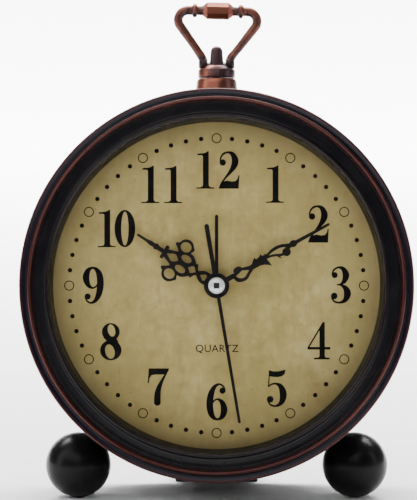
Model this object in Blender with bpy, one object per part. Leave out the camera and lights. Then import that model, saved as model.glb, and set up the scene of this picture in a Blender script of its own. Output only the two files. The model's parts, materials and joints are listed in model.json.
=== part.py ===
"""Retro alarm clock with a quartz movement: a drum case on two ball feet, with a swinging bail handle on top.

The clock is drawn in its own upright frame in millimetres: the case axis is Y, the dial's face is at y = 0, the
front is towards -Y, and Z is up through the numeral 12. One empty then leans the whole clock back on its feet
and scales it to metres. Pieces that turn on the case axis or beside it are drawn round their own axis.
"""
from math import asin, atan2, cos, degrees, hypot, pi, radians, sin, sqrt, tan

import bmesh
import bpy
from mathutils import Matrix, Vector
from mathutils.geometry import delaunay_2d_cdt

MM = 0.001

# Driving dimensions, in millimetres.
BEZEL_R = 63.5
BEZEL_REAR = -2.8
BEAD_R = 60.7
BEAD_FRONT = -11.15
DRUM_R = 62.3
DRUM_WALL = 1.2
DRUM_FRONT = -4.0
DRUM_REAR = 44.0
GLASS_R = 57.0
DIAL_R = 57.0
DIAL_VISIBLE_R = 53.0
DIAL_THICKNESS = 0.6
GAP = 0.3

FOOT_R = 10.7
FOOT_X = 45.5
FOOT_DROP = 58.9
FOOT_Y = 14.0
REAR_FOOT_Y = 50.0
REAR_FOOT_DROP = 66.2

CROWN_Y = 16.0
PIVOT_Z = 73.1
BAIL_TOP_Z = 90.6
BAIL_ROD_R = 1.45
BAIL_ARM_SLOPE = 0.745
BAIL_CORNER_R = 3.2
BAIL_CORNER_X = 9.8
EYE_X = 4.45
EYE_R = 2.1
EYE_THICKNESS = 2.9
SCREW_R = 1.4
SCREW_HOLE_R = 1.7

HOUR_ANGLE = 302.9
MINUTE_ANGLE = 61.3
SECOND_ANGLE = 170.5
ALARM_ANGLE = 0.0

# Gear train: teeth of each wheel and pinion, and the distance between their axes.
SECONDS_TEETH = 36
INTERMEDIATE_PINION = 6
INTERMEDIATE_TEETH = 30
ROTOR_PINION = 6
SECONDS_PINION = 6
THIRD_TEETH = 45
THIRD_PINION = 6
CENTRE_TEETH = 48
CANNON_PINION = 8
WORKS_TEETH = 24
WORKS_PINION = 8
HOUR_TEETH = 32
ALARM_TEETH = 24
IDLER_TEETH = 16
SETTING_PINION = 8

INTERMEDIATE_DISTANCE = 10.5
ROTOR_DISTANCE = 7.2
THIRD_DISTANCE = 10.2
WORKS_DISTANCE = 9.0
IDLER_DISTANCE = 12.0

# Pinions have full leaves; wheels with more teeth than this have pointed teeth.
FINE_TEETH = 16

# Facets round each kind of turned piece.
CASE_FACETS = 64
PLATE_FACETS = 48
BALL_FACETS = 28
SMALL_FACETS = 20
SCREW_FACETS = 12

# Axis positions (x, z) of the movement's arbors.
CENTRE = (0.0, 0.0)
THIRD = (0.0, THIRD_DISTANCE)
INTERMEDIATE = (0.0, -INTERMEDIATE_DISTANCE)
ROTOR = (0.8 * ROTOR_DISTANCE, -INTERMEDIATE_DISTANCE - 0.6 * ROTOR_DISTANCE)
WORKS = (WORKS_DISTANCE, 0.0)
TIME_SET = (2 * WORKS_DISTANCE, 0.0)
IDLER = (-IDLER_DISTANCE, 0.0)
ALARM_SET = (-IDLER_DISTANCE - 7.2, 0.0)

# Depths (y) of the movement's layers, front to back.
FRONT_PLATE = (2.7, 4.1)
ALARM_LAYER = (4.5, 5.3)
HOUR_LAYER = (5.7, 6.5)
WORKS_LAYER = (7.0, 7.8)
MIDDLE_PLATE = (8.3, 9.5)
CENTRE_LAYER = (9.9, 10.7)
THIRD_LAYER = (11.2, 12.0)
SECONDS_LAYER = (12.5, 13.3)
INTERMEDIATE_LAYER = (13.8, 14.6)
MAGNET_LAYER = (15.1, 17.1)
STATOR_LAYER = (15.7, 16.5)
REAR_PLATE = (19.2, 20.6)
PLATE_HALF = (28.0, 26.0)
PILLARS = [(sx * 25.0, sz * 23.0) for sx in (-1, 1) for sz in (-1, 1)]
PILLAR_R = 1.9

COVER_FRONT = 42.7
COVER_REAR = 44.7
COVER_R = 60.8
BOSS_RING_R = 54.5
BOSS_ANGLES = (0, 110, 250)
BAY_HALF_LENGTH = 27.5
BAY_Z = (-40.0, -23.5)
BAY_FLOOR = (24.0, 25.5)
BATTERY_R = 7.2
SWITCH_Z = 22.0
SWITCH_TRAVEL = 4.0
BUZZER_Z = 38.8
KNOB_R = 8.0
KNOB_FACE_R = 6.4
KNOB_FRONT = 46.2
KNOB_REAR = 53.0

# Lean of the whole clock, from the ball feet in front to the flat rear foot.
_FOOT_RUN = REAR_FOOT_Y - FOOT_Y
_FOOT_RISE = REAR_FOOT_DROP - FOOT_DROP
LEAN = asin(FOOT_R / hypot(_FOOT_RUN, _FOOT_RISE)) - atan2(_FOOT_RISE, _FOOT_RUN)


# ---------------------------------------------------------------- outlines

def circle(radius, x=0.0, z=0.0, points=32):
    """Points of a circle round (x, z)."""
    return [(x + radius * cos(2 * pi * k / points), z + radius * sin(2 * pi * k / points)) for k in range(points)]


def oval(x, z, half_width, half_height, points=14):
    """Points of an ellipse round (x, z)."""
    turns = [2 * pi * k / points for k in range(points)]
    return [(x + half_width * cos(a), z + half_height * sin(a)) for a in turns]


def rectangle(x0, x1, z0, z1):
    """Corners of an upright rectangle."""
    return [(x0, z0), (x1, z0), (x1, z1), (x0, z1)]


def arc(cx, cy, radius, start, end, steps):
    """Points of an arc from start to end, in degrees from the first axis."""
    angles = [radians(start + (end - start) * k / steps) for k in range(steps + 1)]
    return [(cx + radius * cos(a), cy + radius * sin(a)) for a in angles]


def gear_outline(teeth, module, toward, gap=False):
    """Toothed outline with a tooth, or a gap, facing the direction toward, in degrees."""
    pitch = 2 * pi / teeth
    radius = teeth * module / 2
    root, tip = radius - 1.1 * module, radius + 0.7 * module
    phase = radians(toward) + (pitch / 2 if gap else 0.0)
    leaf = ((root, -0.25), (tip, -0.08), (tip, 0.08), (root, 0.25))
    tooth = leaf if teeth <= FINE_TEETH else ((root, -0.5), (tip, 0.0))
    outline = []
    for k in range(teeth):
        centre = phase + k * pitch
        for r, share in tooth:
            a = centre + share * pitch
            outline.append((r * cos(a), r * sin(a)))
    return outline


def fluted(radius, depth, flutes):
    """Outline of a knob with shallow rounded flutes."""
    count = flutes * 4
    outline = []
    for k in range(count):
        r = radius - depth * (0.5 - 0.5 * cos(2 * pi * k / 4))
        outline.append((r * cos(2 * pi * k / count), r * sin(2 * pi * k / count)))
    return outline


def smooth_line(points, steps=4):
    """Catmull-Rom curve through the points (s, q, width)."""
    line = []
    for k in range(len(points) - 1):
        p0, p1 = points[max(k - 1, 0)], points[k]
        p2, p3 = points[k + 1], points[min(k + 2, len(points) - 1)]
        for step in range(steps):
            t = step / steps
            line.append(tuple(
                0.5 * (2 * b + (c - a) * t + (2 * a - 5 * b + 4 * c - d) * t * t + (3 * b - a - 3 * c + d) * t ** 3)
                for a, b, c, d in zip(p0, p1, p2, p3)
            ))
    line.append(tuple(points[-1]))
    return line


def stroke(points, steps=4):
    """Ribbon outline along a curve through points (s, q, width); s runs up the hand and q to its right."""
    line = smooth_line(points, steps)
    left, right = [], []
    for k, (s, q, width) in enumerate(line):
        s0, q0, _ = line[max(k - 1, 0)]
        s1, q1, _ = line[min(k + 1, len(line) - 1)]
        length = hypot(s1 - s0, q1 - q0)
        ns, nq = -(q1 - q0) / length, (s1 - s0) / length
        left.append((q + nq * width / 2, s + ns * width / 2))
        right.append((q - nq * width / 2, s - ns * width / 2))
    return left + right[::-1]


# ---------------------------------------------------------------- solids

def anticlockwise(outline):
    """The outline, with its points in anticlockwise order."""
    area = sum(a[0] * b[1] - b[0] * a[1] for a, b in zip(outline, outline[1:] + outline[:1]))
    return list(outline) if area > 0 else list(outline)[::-1]


def layered(*levels):
    """Solid made of adjoining levels (y0, y1, solids, holes), each cut by outlines of (x, z) points."""
    outlines = []
    for _, _, solids, holes in levels:
        for outline in solids + holes:
            if outline not in outlines:
                outlines.append(outline)
    points, faces = [], []
    for outline in outlines:
        faces.append(list(range(len(points), len(points) + len(outline))))
        points += [Vector(p) for p in anticlockwise(outline)]
    flat, _, triangles, _, _, inside = delaunay_2d_cdt(points, [], faces, 1, 1e-5)

    def is_solid(level, triangle):
        if not 0 <= level < len(levels):
            return False
        covers = {tuple(map(tuple, outlines[i])) for i in inside[triangle]}
        _, _, solids, holes = levels[level]
        within = any(tuple(map(tuple, o)) in covers for o in solids)
        return within and not any(tuple(map(tuple, o)) in covers for o in holes)

    solid = [[is_solid(level, t) for t in range(len(triangles))] for level in range(len(levels))]
    sides = {}
    for t, corners in enumerate(triangles):
        for a, b in zip(corners, corners[1:] + corners[:1]):
            sides.setdefault(frozenset((a, b)), []).append(t)
    bm = bmesh.new()
    made = {}

    def vertex(i, y):
        if (i, y) not in made:
            made[i, y] = bm.verts.new((flat[i][0], y, flat[i][1]))
        return made[i, y]

    for level, (y0, y1, _, _) in enumerate(levels):
        for t, corners in enumerate(triangles):
            if not solid[level][t]:
                continue
            if level == 0 or not solid[level - 1][t]:
                bm.faces.new([vertex(i, y0) for i in corners])
            if level == len(levels) - 1 or not solid[level + 1][t]:
                bm.faces.new([vertex(i, y1) for i in reversed(corners)])
            for a, b in zip(corners, corners[1:] + corners[:1]):
                beyond = [n for n in sides[frozenset((a, b))] if n != t]
                if not beyond or not solid[level][beyond[0]]:
                    bm.faces.new([vertex(b, y0), vertex(a, y0), vertex(a, y1), vertex(b, y1)])
    bm.normal_update()
    bmesh.ops.dissolve_limit(bm, angle_limit=radians(0.3), verts=bm.verts, edges=bm.edges)
    bmesh.ops.recalc_face_normals(bm, faces=bm.faces)
    return bm


def turned(profile, segments):
    """Solid of revolution round Y, from a closed profile of (radius, y) points."""
    bm = bmesh.new()
    verts = [bm.verts.new((r, y, 0.0)) for r, y in profile]
    pairs = zip(verts, verts[1:] + verts[:1])
    edges = [bm.edges.new(pair) for pair in pairs if max(abs(pair[0].co.x), abs(pair[1].co.x)) > 1e-6]
    bmesh.ops.spin(
        bm, geom=verts + edges, cent=(0, 0, 0), axis=(0, 1, 0), angle=2 * pi, steps=segments, use_merge=True
    )
    bmesh.ops.remove_doubles(bm, verts=bm.verts, dist=1e-5)
    bmesh.ops.recalc_face_normals(bm, faces=bm.faces)
    return bm


def swept(path, radius, sides=12):
    """Round bar along a path of points, with flat ends."""
    bm = bmesh.new()
    path = [Vector(p) for p in path]
    rings = []
    side = None
    for k, point in enumerate(path):
        ahead = (path[min(k + 1, len(path) - 1)] - path[max(k - 1, 0)]).normalized()
        if side is None:
            side = ahead.orthogonal().normalized()
        side = (side - ahead * side.dot(ahead)).normalized()
        other = ahead.cross(side)
        turns = [2 * pi * n / sides for n in range(sides)]
        rings.append([bm.verts.new(point + (side * cos(a) + other * sin(a)) * radius) for a in turns])
    for ring, following in zip(rings, rings[1:]):
        for n in range(sides):
            m = (n + 1) % sides
            bm.faces.new([ring[n], ring[m], following[m], following[n]])
    bm.faces.new(rings[0])
    bm.faces.new(rings[-1])
    bmesh.ops.recalc_face_normals(bm, faces=bm.faces)
    return bm


def block(x0, x1, y0, y1, z0, z1):
    """Rectangular block."""
    return layered((y0, y1, [rectangle(x0, x1, z0, z1)], []))


Y_TO_X = Matrix.Rotation(radians(-90), 4, "Z")
Y_TO_Z = Matrix.Rotation(radians(90), 4, "X")


def along(bm, turn):
    """The solid, turned so that its Y axis points another way."""
    bm.transform(turn)
    bm.normal_update()
    return bm


def strip(outline, z0, z1):
    """Solid with an outline of (x, y) points, as high as from z0 to z1."""
    return along(layered((-z1, -z0, [outline], [])), Matrix.Rotation(radians(-90), 4, "X"))


# ---------------------------------------------------------------- objects

MATERIALS = {
    "bronze": ((0.035, 0.027, 0.026), 0.22, 1.0),
    "copper": ((0.32, 0.14, 0.10), 0.35, 1.0),
    "black_gloss": ((0.02, 0.02, 0.024), 0.12, 0.0),
    "black_paint": ((0.015, 0.015, 0.015), 0.45, 0.0),
    "parchment": ((0.42, 0.33, 0.18), 0.75, 0.0),
    "black_plastic": ((0.02, 0.02, 0.02), 0.5, 0.0),
    "white_plastic": ((0.75, 0.74, 0.70), 0.45, 0.0),
    "natural_plastic": ((0.70, 0.66, 0.52), 0.45, 0.0),
    "glass": ((0.9, 0.95, 0.95), 0.03, 0.0),
    "steel": ((0.55, 0.55, 0.56), 0.35, 1.0),
    "brass": ((0.60, 0.45, 0.18), 0.3, 1.0),
    "chrome": ((0.85, 0.85, 0.87), 0.06, 1.0),
    "circuit": ((0.03, 0.20, 0.08), 0.5, 0.0),
    "winding": ((0.45, 0.17, 0.07), 0.4, 1.0),
    "red_plastic": ((0.55, 0.03, 0.02), 0.5, 0.0),
    "cell": ((0.12, 0.13, 0.15), 0.3, 1.0),
}


def material(name):
    """Principled material of that name."""
    found = bpy.data.materials.get(name)
    if found:
        return found
    colour, roughness, metallic = MATERIALS[name]
    made = bpy.data.materials.new(name)
    made.use_nodes = True
    shader = made.node_tree.nodes["Principled BSDF"]
    shader.inputs["Base Color"].default_value = (*colour, 1.0)
    shader.inputs["Roughness"].default_value = roughness
    shader.inputs["Metallic"].default_value = metallic
    made.diffuse_color = (*colour, 1.0)
    return made


def piece(name, bm, finish, parent, at=(0, 0, 0), spin=0.0):
    """Object from a solid, placed at a point of its parent and turned by spin degrees round Y."""
    mesh = bpy.data.meshes.new(name)
    bm.to_mesh(mesh)
    bm.free()
    mesh.shade_smooth()
    mesh.set_sharp_from_angle(angle=radians(32))
    obj = bpy.data.objects.new(name, mesh)
    bpy.context.scene.collection.objects.link(obj)
    obj.data.materials.append(material(finish))
    obj.parent = parent
    obj.location = at
    obj.rotation_euler = (0, radians(spin), 0)
    return obj


def combine(obj, bm, operation, label):
    """Boolean of the object with a solid drawn in the same frame; the helper solid stays as a wire."""
    helper = piece(obj.name + "_" + label, bm, "steel", obj)
    helper.hide_render = True
    helper.display_type = "WIRE"
    cut = obj.modifiers.new(label, "BOOLEAN")
    cut.operation = operation
    cut.solver = "EXACT"
    cut.object = helper


def empty(name, parent=None, at=(0, 0, 0), rotation=(0, 0, 0)):
    """Empty that places what is parented to it."""
    obj = bpy.data.objects.new(name, None)
    bpy.context.scene.collection.objects.link(obj)
    obj.parent = parent
    obj.location = at
    obj.rotation_euler = rotation
    return obj


# ---------------------------------------------------------------- case

def make_bezel(clock):
    """Cast bezel: a lip round the glass, a wide cove, a raised bead, a recess and a beaded outer edge."""
    seat, pocket = DRUM_R + GAP, GLASS_R + GAP
    profile = [(54.1, -8.9), (54.15, -9.7), (54.9, -10.35), (55.6, -9.95), (57.0, -9.35), (58.6, -9.75)]
    profile += [(59.1, -9.5), (59.45, -10.4), (59.85, BEAD_FRONT), (BEAD_R, BEAD_FRONT), (61.15, -10.4)]
    profile += [(61.75, -9.65), (62.4, -10.0), (63.0, -10.15), (BEZEL_R, -9.6), (BEZEL_R, BEZEL_REAR)]
    profile += [(seat, BEZEL_REAR), (seat, DRUM_FRONT - GAP), (pocket, DRUM_FRONT - GAP), (pocket, -8.9)]
    piece("front_bezel", turned(profile, CASE_FACETS), "bronze", clock)


def make_glass_and_dial(clock):
    """Lens, spacer ring and dial plate, stacked behind the bezel's lip."""
    lens = [(0, -8.6), (GLASS_R - 0.4, -8.6), (GLASS_R, -8.2), (GLASS_R, -6.8), (0, -6.8)]
    piece("glass_lens", turned(lens, PLATE_FACETS), "glass", clock)
    ring = [(53.9, -6.5), (GLASS_R, -6.5), (GLASS_R, -GAP), (DIAL_VISIBLE_R, -GAP)]
    piece("dial_ring", turned(ring, PLATE_FACETS), "black_paint", clock)
    dial = [(3.3, 0), (DIAL_R, 0), (DIAL_R, DIAL_THICKNESS), (3.3, DIAL_THICKNESS)]
    piece("dial_plate", turned(dial, PLATE_FACETS), "parchment", clock)


def radial_cutters(length0, length1, radius):
    """Three drill holes through the drum: one for the crown and one for each foot."""
    bm = bmesh.new()
    foot_angle = degrees(atan2(FOOT_X, -FOOT_DROP))
    for angle, y in ((0, CROWN_Y), (foot_angle, FOOT_Y), (-foot_angle, FOOT_Y)):
        pin = turned([(0, length0), (radius, length0), (radius, length1), (0, length1)], SCREW_FACETS)
        place = Matrix.Translation((0, y, 0)) @ Matrix.Rotation(radians(angle), 4, "Y") @ Y_TO_Z
        pin.transform(place)
        part = bpy.data.meshes.new("drill")
        pin.to_mesh(part)
        pin.free()
        bm.from_mesh(part)
        bpy.data.meshes.remove(part)
    return bm


def make_drum(clock):
    """Rolled steel drum, open at both ends."""
    inner = DRUM_R - DRUM_WALL
    profile = [(DRUM_R, DRUM_FRONT), (DRUM_R, DRUM_REAR), (inner, DRUM_REAR), (inner, DRUM_FRONT)]
    drum = piece("case_drum", turned(profile, CASE_FACETS), "bronze", clock)
    combine(drum, radial_cutters(55, 68, SCREW_HOLE_R), "DIFFERENCE", "drill")


def boss_centres():
    """Centres (x, z) of the three long bosses that the rear cover screws into."""
    return [(BOSS_RING_R * sin(radians(a)), BOSS_RING_R * cos(radians(a))) for a in BOSS_ANGLES]


def make_carrier(clock):
    """Plastic disc behind the dial with three long bosses that reach the rear cover."""
    disc = circle(60.5, points=PLATE_FACETS)
    bosses = [circle(2.7, x, z, 12) for x, z in boss_centres()]
    bores = [circle(1.2, x, z, 8) for x, z in boss_centres()]
    centre = [circle(3.7, points=16)]
    bm = layered(
        (0.9, 2.4, [disc], centre),
        (2.4, 20.0, bosses, []),
        (20.0, COVER_FRONT - GAP, bosses, bores),
    )
    piece("dial_carrier", bm, "natural_plastic", clock)


def rear_foot():
    """Wedge below the rear cover whose underside lies flat on the table when the clock leans back."""
    def floor(y):
        return -REAR_FOOT_DROP + (y - REAR_FOOT_Y) * tan(LEAN)

    front, rear = DRUM_REAR + GAP, 53.5
    side = [(front, -47.0), (front, floor(front)), (rear, floor(rear)), (rear, -58.5), (47.0, -47.0)]
    return along(layered((-14.0, 14.0, [side], [])), Matrix.Rotation(radians(90), 4, "Z"))


def make_rear_cover(clock):
    """Moulded rear cover with the battery bay, door rails, switch slot, sound holes and rear foot."""
    disc = circle(COVER_R, points=PLATE_FACETS)
    bay_outer = rectangle(-29.3, 29.3, BAY_Z[0] - 1.5, BAY_Z[1] + 1.5)
    bay = rectangle(-BAY_HALF_LENGTH, BAY_HALF_LENGTH, *BAY_Z)
    lead_holes = [circle(0.9, x, -25.2, 8) for x in (-25.9, 25.9)]
    holes = [circle(2.2, *TIME_SET, 12), circle(2.2, *ALARM_SET, 12)]
    holes += [circle(1.7, x, z, 12) for x, z in boss_centres()]
    holes.append(rectangle(-3.95, 3.95, SWITCH_Z - 1.6, SWITCH_Z + 1.6))
    holes.append(circle(1.1, 0, BUZZER_Z, 8))
    holes += [circle(1.1, 5 * cos(radians(a)), BUZZER_Z + 5 * sin(radians(a)), 8) for a in range(0, 360, 60)]
    low, high = BAY_Z[0] - 2.3, BAY_Z[1] + 2.3
    web = [(29, low - 1.8), (29, low), (-29.4, low), (-29.4, high), (29, high), (29, high + 1.8)]
    web += [(-31, high + 1.8), (-31, low - 1.8)]
    lip = [(29.2, low - 2), (29.2, low + 1.5), (-27.9, low + 1.5), (-27.9, high - 1.5), (29.2, high - 1.5)]
    lip += [(29.2, high + 2), (-31.2, high + 2), (-31.2, low - 2)]
    bm = layered(
        (BAY_FLOOR[0], BAY_FLOOR[1], [bay_outer], lead_holes),
        (BAY_FLOOR[1], COVER_FRONT, [bay_outer], [bay]),
        (COVER_FRONT, COVER_REAR, [disc], holes + [bay]),
        (COVER_REAR, COVER_REAR + 2.0, [web], []),
        (COVER_REAR + 2.0, COVER_REAR + 3.0, [lip], []),
    )
    cover = piece("rear_cover", bm, "black_plastic", clock)
    combine(cover, rear_foot(), "UNION", "foot")


def make_battery_door(clock):
    """Flat door with grip ribs, held under the rails of the rear cover."""
    low, high = BAY_Z[0] - 2.0, BAY_Z[1] + 2.0
    plate = rectangle(-29.0, 29.0, low, high)
    ribs = [rectangle(x, x + 0.8, low + 5, high - 5) for x in (15, 17, 19, 21, 23)]
    bm = layered((COVER_REAR + GAP, COVER_REAR + 1.6, [plate], []), (COVER_REAR + 1.6, COVER_REAR + 2.4, ribs, []))
    piece("battery_door", bm, "black_plastic", clock)


# ---------------------------------------------------------------- fasteners

def screw_solid(head_r, head_h, shank_r, length):
    """Pan head screw along +Y, its head's underside at y = 0 and its shank towards +Y."""
    return turned([
        (0, -head_h), (head_r * 0.7, -head_h), (head_r, -head_h * 0.45), (head_r, 0),
        (shank_r, 0), (shank_r, length - 0.6), (shank_r * 0.5, length), (0, length),
    ], SCREW_FACETS)


def add_screw(name, parent, at, rotation, head_r, head_h, shank_r, length):
    """Screw with a straight slot in its head."""
    screw = piece(name, screw_solid(head_r, head_h, shank_r, length), "steel", parent, at)
    screw.rotation_euler = rotation
    slot = block(-head_r * 1.5, head_r * 1.5, -head_h * 2, -head_h * 0.5, -0.3, 0.3)
    combine(screw, slot, "DIFFERENCE", "slot")
    return screw


def make_rear_screws(clock):
    """Three screws that hold the rear cover to the carrier's bosses."""
    for number, (x, z) in enumerate(boss_centres(), 1):
        turn = (0, 0, pi)
        add_screw(f"rear_screw_{number}", clock, (x, COVER_REAR + GAP, z), turn, 2.6, 1.3, 0.9, 9.0)


# ---------------------------------------------------------------- feet

def saddle_cutter():
    """Cylinder a little larger than the drum, which shapes the foot of a radial piece."""
    radius, half = DRUM_R + GAP, 30.0
    return turned([(0, -half), (radius, -half), (radius, half), (0, half)], CASE_FACETS)


def make_feet(clock):
    """Ball feet with their washers and the screws that hold them from inside the drum."""
    reach = hypot(FOOT_X, FOOT_DROP)
    for side, sign in (("left", -1), ("right", 1)):
        angle = sign * atan2(FOOT_X, -FOOT_DROP)
        frame = empty(f"foot_frame_{side}", clock, (0, FOOT_Y, 0), (0, angle, 0))
        seat = reach - 64.2
        flat_r = sqrt(FOOT_R ** 2 - seat ** 2)
        start = degrees(atan2(-seat, flat_r))
        ball = [(0, -2.4), (SCREW_HOLE_R, -2.4), (SCREW_HOLE_R, -seat)]
        ball += arc(0, 0, FOOT_R, start, 90, 11)[:-1] + [(0, FOOT_R)]
        piece(f"foot_ball_{side}", along(turned(ball, BALL_FACETS), Y_TO_Z), "black_gloss", frame, (0, 0, reach))
        ring = [(SCREW_HOLE_R, 61.5), (4.3, 61.5), (4.3, 63.6), (4.0, 63.9), (SCREW_HOLE_R, 63.9)]
        washer = piece(f"foot_washer_{side}", along(turned(ring, SMALL_FACETS), Y_TO_Z), "steel", frame)
        combine(washer, saddle_cutter(), "DIFFERENCE", "saddle")
        add_screw(f"foot_screw_{side}", frame, (0, 0, 60.5), (pi / 2, 0, 0), 3.0, 1.6, SCREW_R, 10.8)


# ---------------------------------------------------------------- crown and bail

def make_crown(clock):
    """Two collars and a post on top of the drum, held by one screw, with the pin that the bail swings on."""
    frame = empty("crown_frame", clock, (0, CROWN_Y, 0))
    base = [(SCREW_HOLE_R, 61.0), (6.95, 61.0), (6.95, 63.0), (6.6, 67.7), (6.2, 68.2), (SCREW_HOLE_R, 68.2)]
    lower = piece("crown_base", along(turned(base, BALL_FACETS), Y_TO_Z), "copper", frame)
    combine(lower, saddle_cutter(), "DIFFERENCE", "saddle")
    cap = [(0, 71.0), (SCREW_HOLE_R, 71.0), (SCREW_HOLE_R, 68.5), (5.8, 68.5), (6.05, 68.75), (6.0, 70.5)]
    cap += [(5.5, 71.2), (3.9, 72.3), (2.25, 72.5), (2.15, 74.2), (1.88, 77.1)]
    cap += [(1.75 * cos(radians(a)), 77.2 + 1.7 * sin(radians(a))) for a in (20, 45, 70)] + [(0, 78.9)]
    upper = piece("crown_cap", along(turned(cap, BALL_FACETS), Y_TO_Z), "copper", frame)
    for sign in (-1, 1):
        pocket = turned([(0, 2.65), (2.45, 2.65), (2.45, 8.0), (0, 8.0)], SMALL_FACETS)
        pocket = along(pocket, Matrix.Rotation(radians(-90 * sign), 4, "Z"))
        bmesh.ops.translate(pocket, verts=pocket.verts, vec=(0, 0, PIVOT_Z))
        combine(upper, pocket, "DIFFERENCE", "pocket_right" if sign > 0 else "pocket_left")
    bore = along(turned([(0, -4.0), (0.95, -4.0), (0.95, 4.0), (0, 4.0)], SCREW_FACETS), Y_TO_X)
    bmesh.ops.translate(bore, verts=bore.verts, vec=(0, 0, PIVOT_Z))
    combine(upper, bore, "DIFFERENCE", "bore")
    add_screw("crown_screw", frame, (0, 0, 60.5), (pi / 2, 0, 0), 3.0, 1.6, SCREW_R, 10.1)
    pin = [(0, -5.8), (0.6, -5.8), (0.75, -5.65), (0.75, 5.65), (0.6, 5.8), (0, 5.8)]
    piece("bail_pin", along(turned(pin, SCREW_FACETS), Y_TO_X), "steel", frame, (0, 0, PIVOT_Z))


def bail_path():
    """Centre line of the bail's rod, from one eye over the top to the other, round the pivot."""
    top = BAIL_TOP_Z - PIVOT_Z
    bend = arc(BAIL_CORNER_X, top - BAIL_CORNER_R, BAIL_CORNER_R, -degrees(atan2(BAIL_ARM_SLOPE, 1)), 90, 6)
    foot_z = 1.2
    foot_x = bend[0][0] - (bend[0][1] - foot_z) * BAIL_ARM_SLOPE
    half = [(foot_x, foot_z)] + bend
    right = [Vector((x, 0, z)) for x, z in half]
    left = [Vector((-x, 0, z)) for x, z in reversed(half)]
    return right + left


def grip_profile():
    """Profile (radius, x) of one turned ring beside the grip."""
    ring = [(7.6 + 0.98 * cos(radians(a)), BAIL_ROD_R + 0.81 * sin(radians(a))) for a in (165, 120, 90, 60, 15)]
    return [(r, x) for x, r in ring]


def make_bail(clock):
    """Bail handle: a bent rod with two eyes, two rings and an eight-sided grip."""
    bail = piece("bail_handle", swept(bail_path(), BAIL_ROD_R, 12), "copper", clock, (0, CROWN_Y, PIVOT_Z))
    top = BAIL_TOP_Z - PIVOT_Z
    half = [(2.95, 0.0), (2.95, 3.7), (1.65, 5.0), (1.5, 5.9)]
    barrel = turned([(0, -5.9)] + [(r, -x) for r, x in reversed(half[1:])] + half[1:] + [(0, 5.9)], 8)
    barrel = along(barrel, Y_TO_X @ Matrix.Rotation(radians(22.5), 4, "Y"))
    bmesh.ops.translate(barrel, verts=barrel.verts, vec=(0, 0, top))
    combine(bail, barrel, "UNION", "barrel")
    for sign in (-1, 1):
        side = "right" if sign > 0 else "left"
        ring = turned([(0, 6.55)] + grip_profile() + [(0, 8.65)], 16)
        ring = along(ring, Matrix.Rotation(radians(-90 * sign), 4, "Z"))
        bmesh.ops.translate(ring, verts=ring.verts, vec=(0, 0, top))
        combine(bail, ring, "UNION", "ring_" + side)
        inner, outer = EYE_X - EYE_THICKNESS / 2, EYE_X + EYE_THICKNESS / 2
        rim = [(EYE_R - 0.3, inner), (EYE_R, inner + 0.3), (EYE_R, outer - 0.5), (EYE_R - 0.5, outer)]
        eye = turned([(0, inner)] + rim + [(0, outer)], SMALL_FACETS)
        combine(bail, along(eye, Matrix.Rotation(radians(-90 * sign), 4, "Z")), "UNION", "eye_" + side)
    bore = along(turned([(0, -8.0), (1.0, -8.0), (1.0, 8.0), (0, 8.0)], SCREW_FACETS), Y_TO_X)
    combine(bail, bore, "DIFFERENCE", "bore")


# ---------------------------------------------------------------- hands

def both_sides(points):
    """Closed outline from the points (s, q) of its right half, mirrored across the hand's centre line."""
    return [(q, s) for s, q in points] + [(-q, s) for s, q in reversed(points) if q > 0]


def hour_outlines():
    """Solid and pierced outlines of the openwork hour hand, pointing up."""
    neck = [(3.0, 2.1), (4.6, 2.12), (5.6, 1.95), (6.5, 1.5), (7.2, 0.95), (7.8, 0.75)]
    body = [(7.4, 0.7), (8.1, 1.35), (8.6, 2.5), (9.3, 2.35), (9.9, 2.9), (10.6, 3.5), (11.4, 3.95), (12.2, 4.1)]
    body += [(13.6, 4.1), (15.0, 3.6), (16.0, 3.0), (16.8, 2.35), (18.2, 1.85), (19.8, 1.35)]
    solids = [circle(4.05, points=24), both_sides(neck), both_sides(body)]
    holes = [both_sides([(4.2, 0.7), (4.7, 1.07), (5.4, 0.75), (6.35, 0.0)])]
    holes.append(both_sides([(8.05, 0.0), (8.8, 0.75), (9.5, 1.2), (10.2, 0.75), (10.9, 0.0)]))
    holes.append(both_sides([(14.8, 0.0), (15.6, 0.75), (16.6, 1.28), (17.8, 0.8), (19.15, 0.0)]))
    for side in (-1, 1):
        holes.append(oval(side * 1.93, 12.85, 1.12, 1.82))
        holes.append(oval(side * 5.05, 15.0, 1.62, 1.8))
        solids.append(circle(2.55, side * 5.07, 15.0, 20))
        solids.append([(side * q, s) for s, q in ((16.2, 2.7), (17.2, 3.4), (18.6, 4.45), (17.3, 5.4), (16.0, 4.6))])
        solids.append([(side * q, s) for s, q in ((13.0, 4.0), (12.6, 4.5), (12.1, 5.45), (12.7, 6.2), (14.0, 5.4))])
        solids.append(circle(0.62, side * 1.75, 20.05, 12))
    solids.append(rectangle(-1.75, 1.75, 19.5, 20.6))
    solids.append(stroke([(19.6, 0, 1.4), (22.3, 0, 1.45), (23.1, 0, 2.0), (23.6, 0, 2.05), (24.1, 0, 1.35),
                          (25.3, 0, 1.55), (26.3, 0, 1.15), (27.4, 0, 0.9), (30.2, 0, 0.8)], 2))
    solids.append(circle(0.4, 0, 30.2, 12))
    return solids, holes


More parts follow.
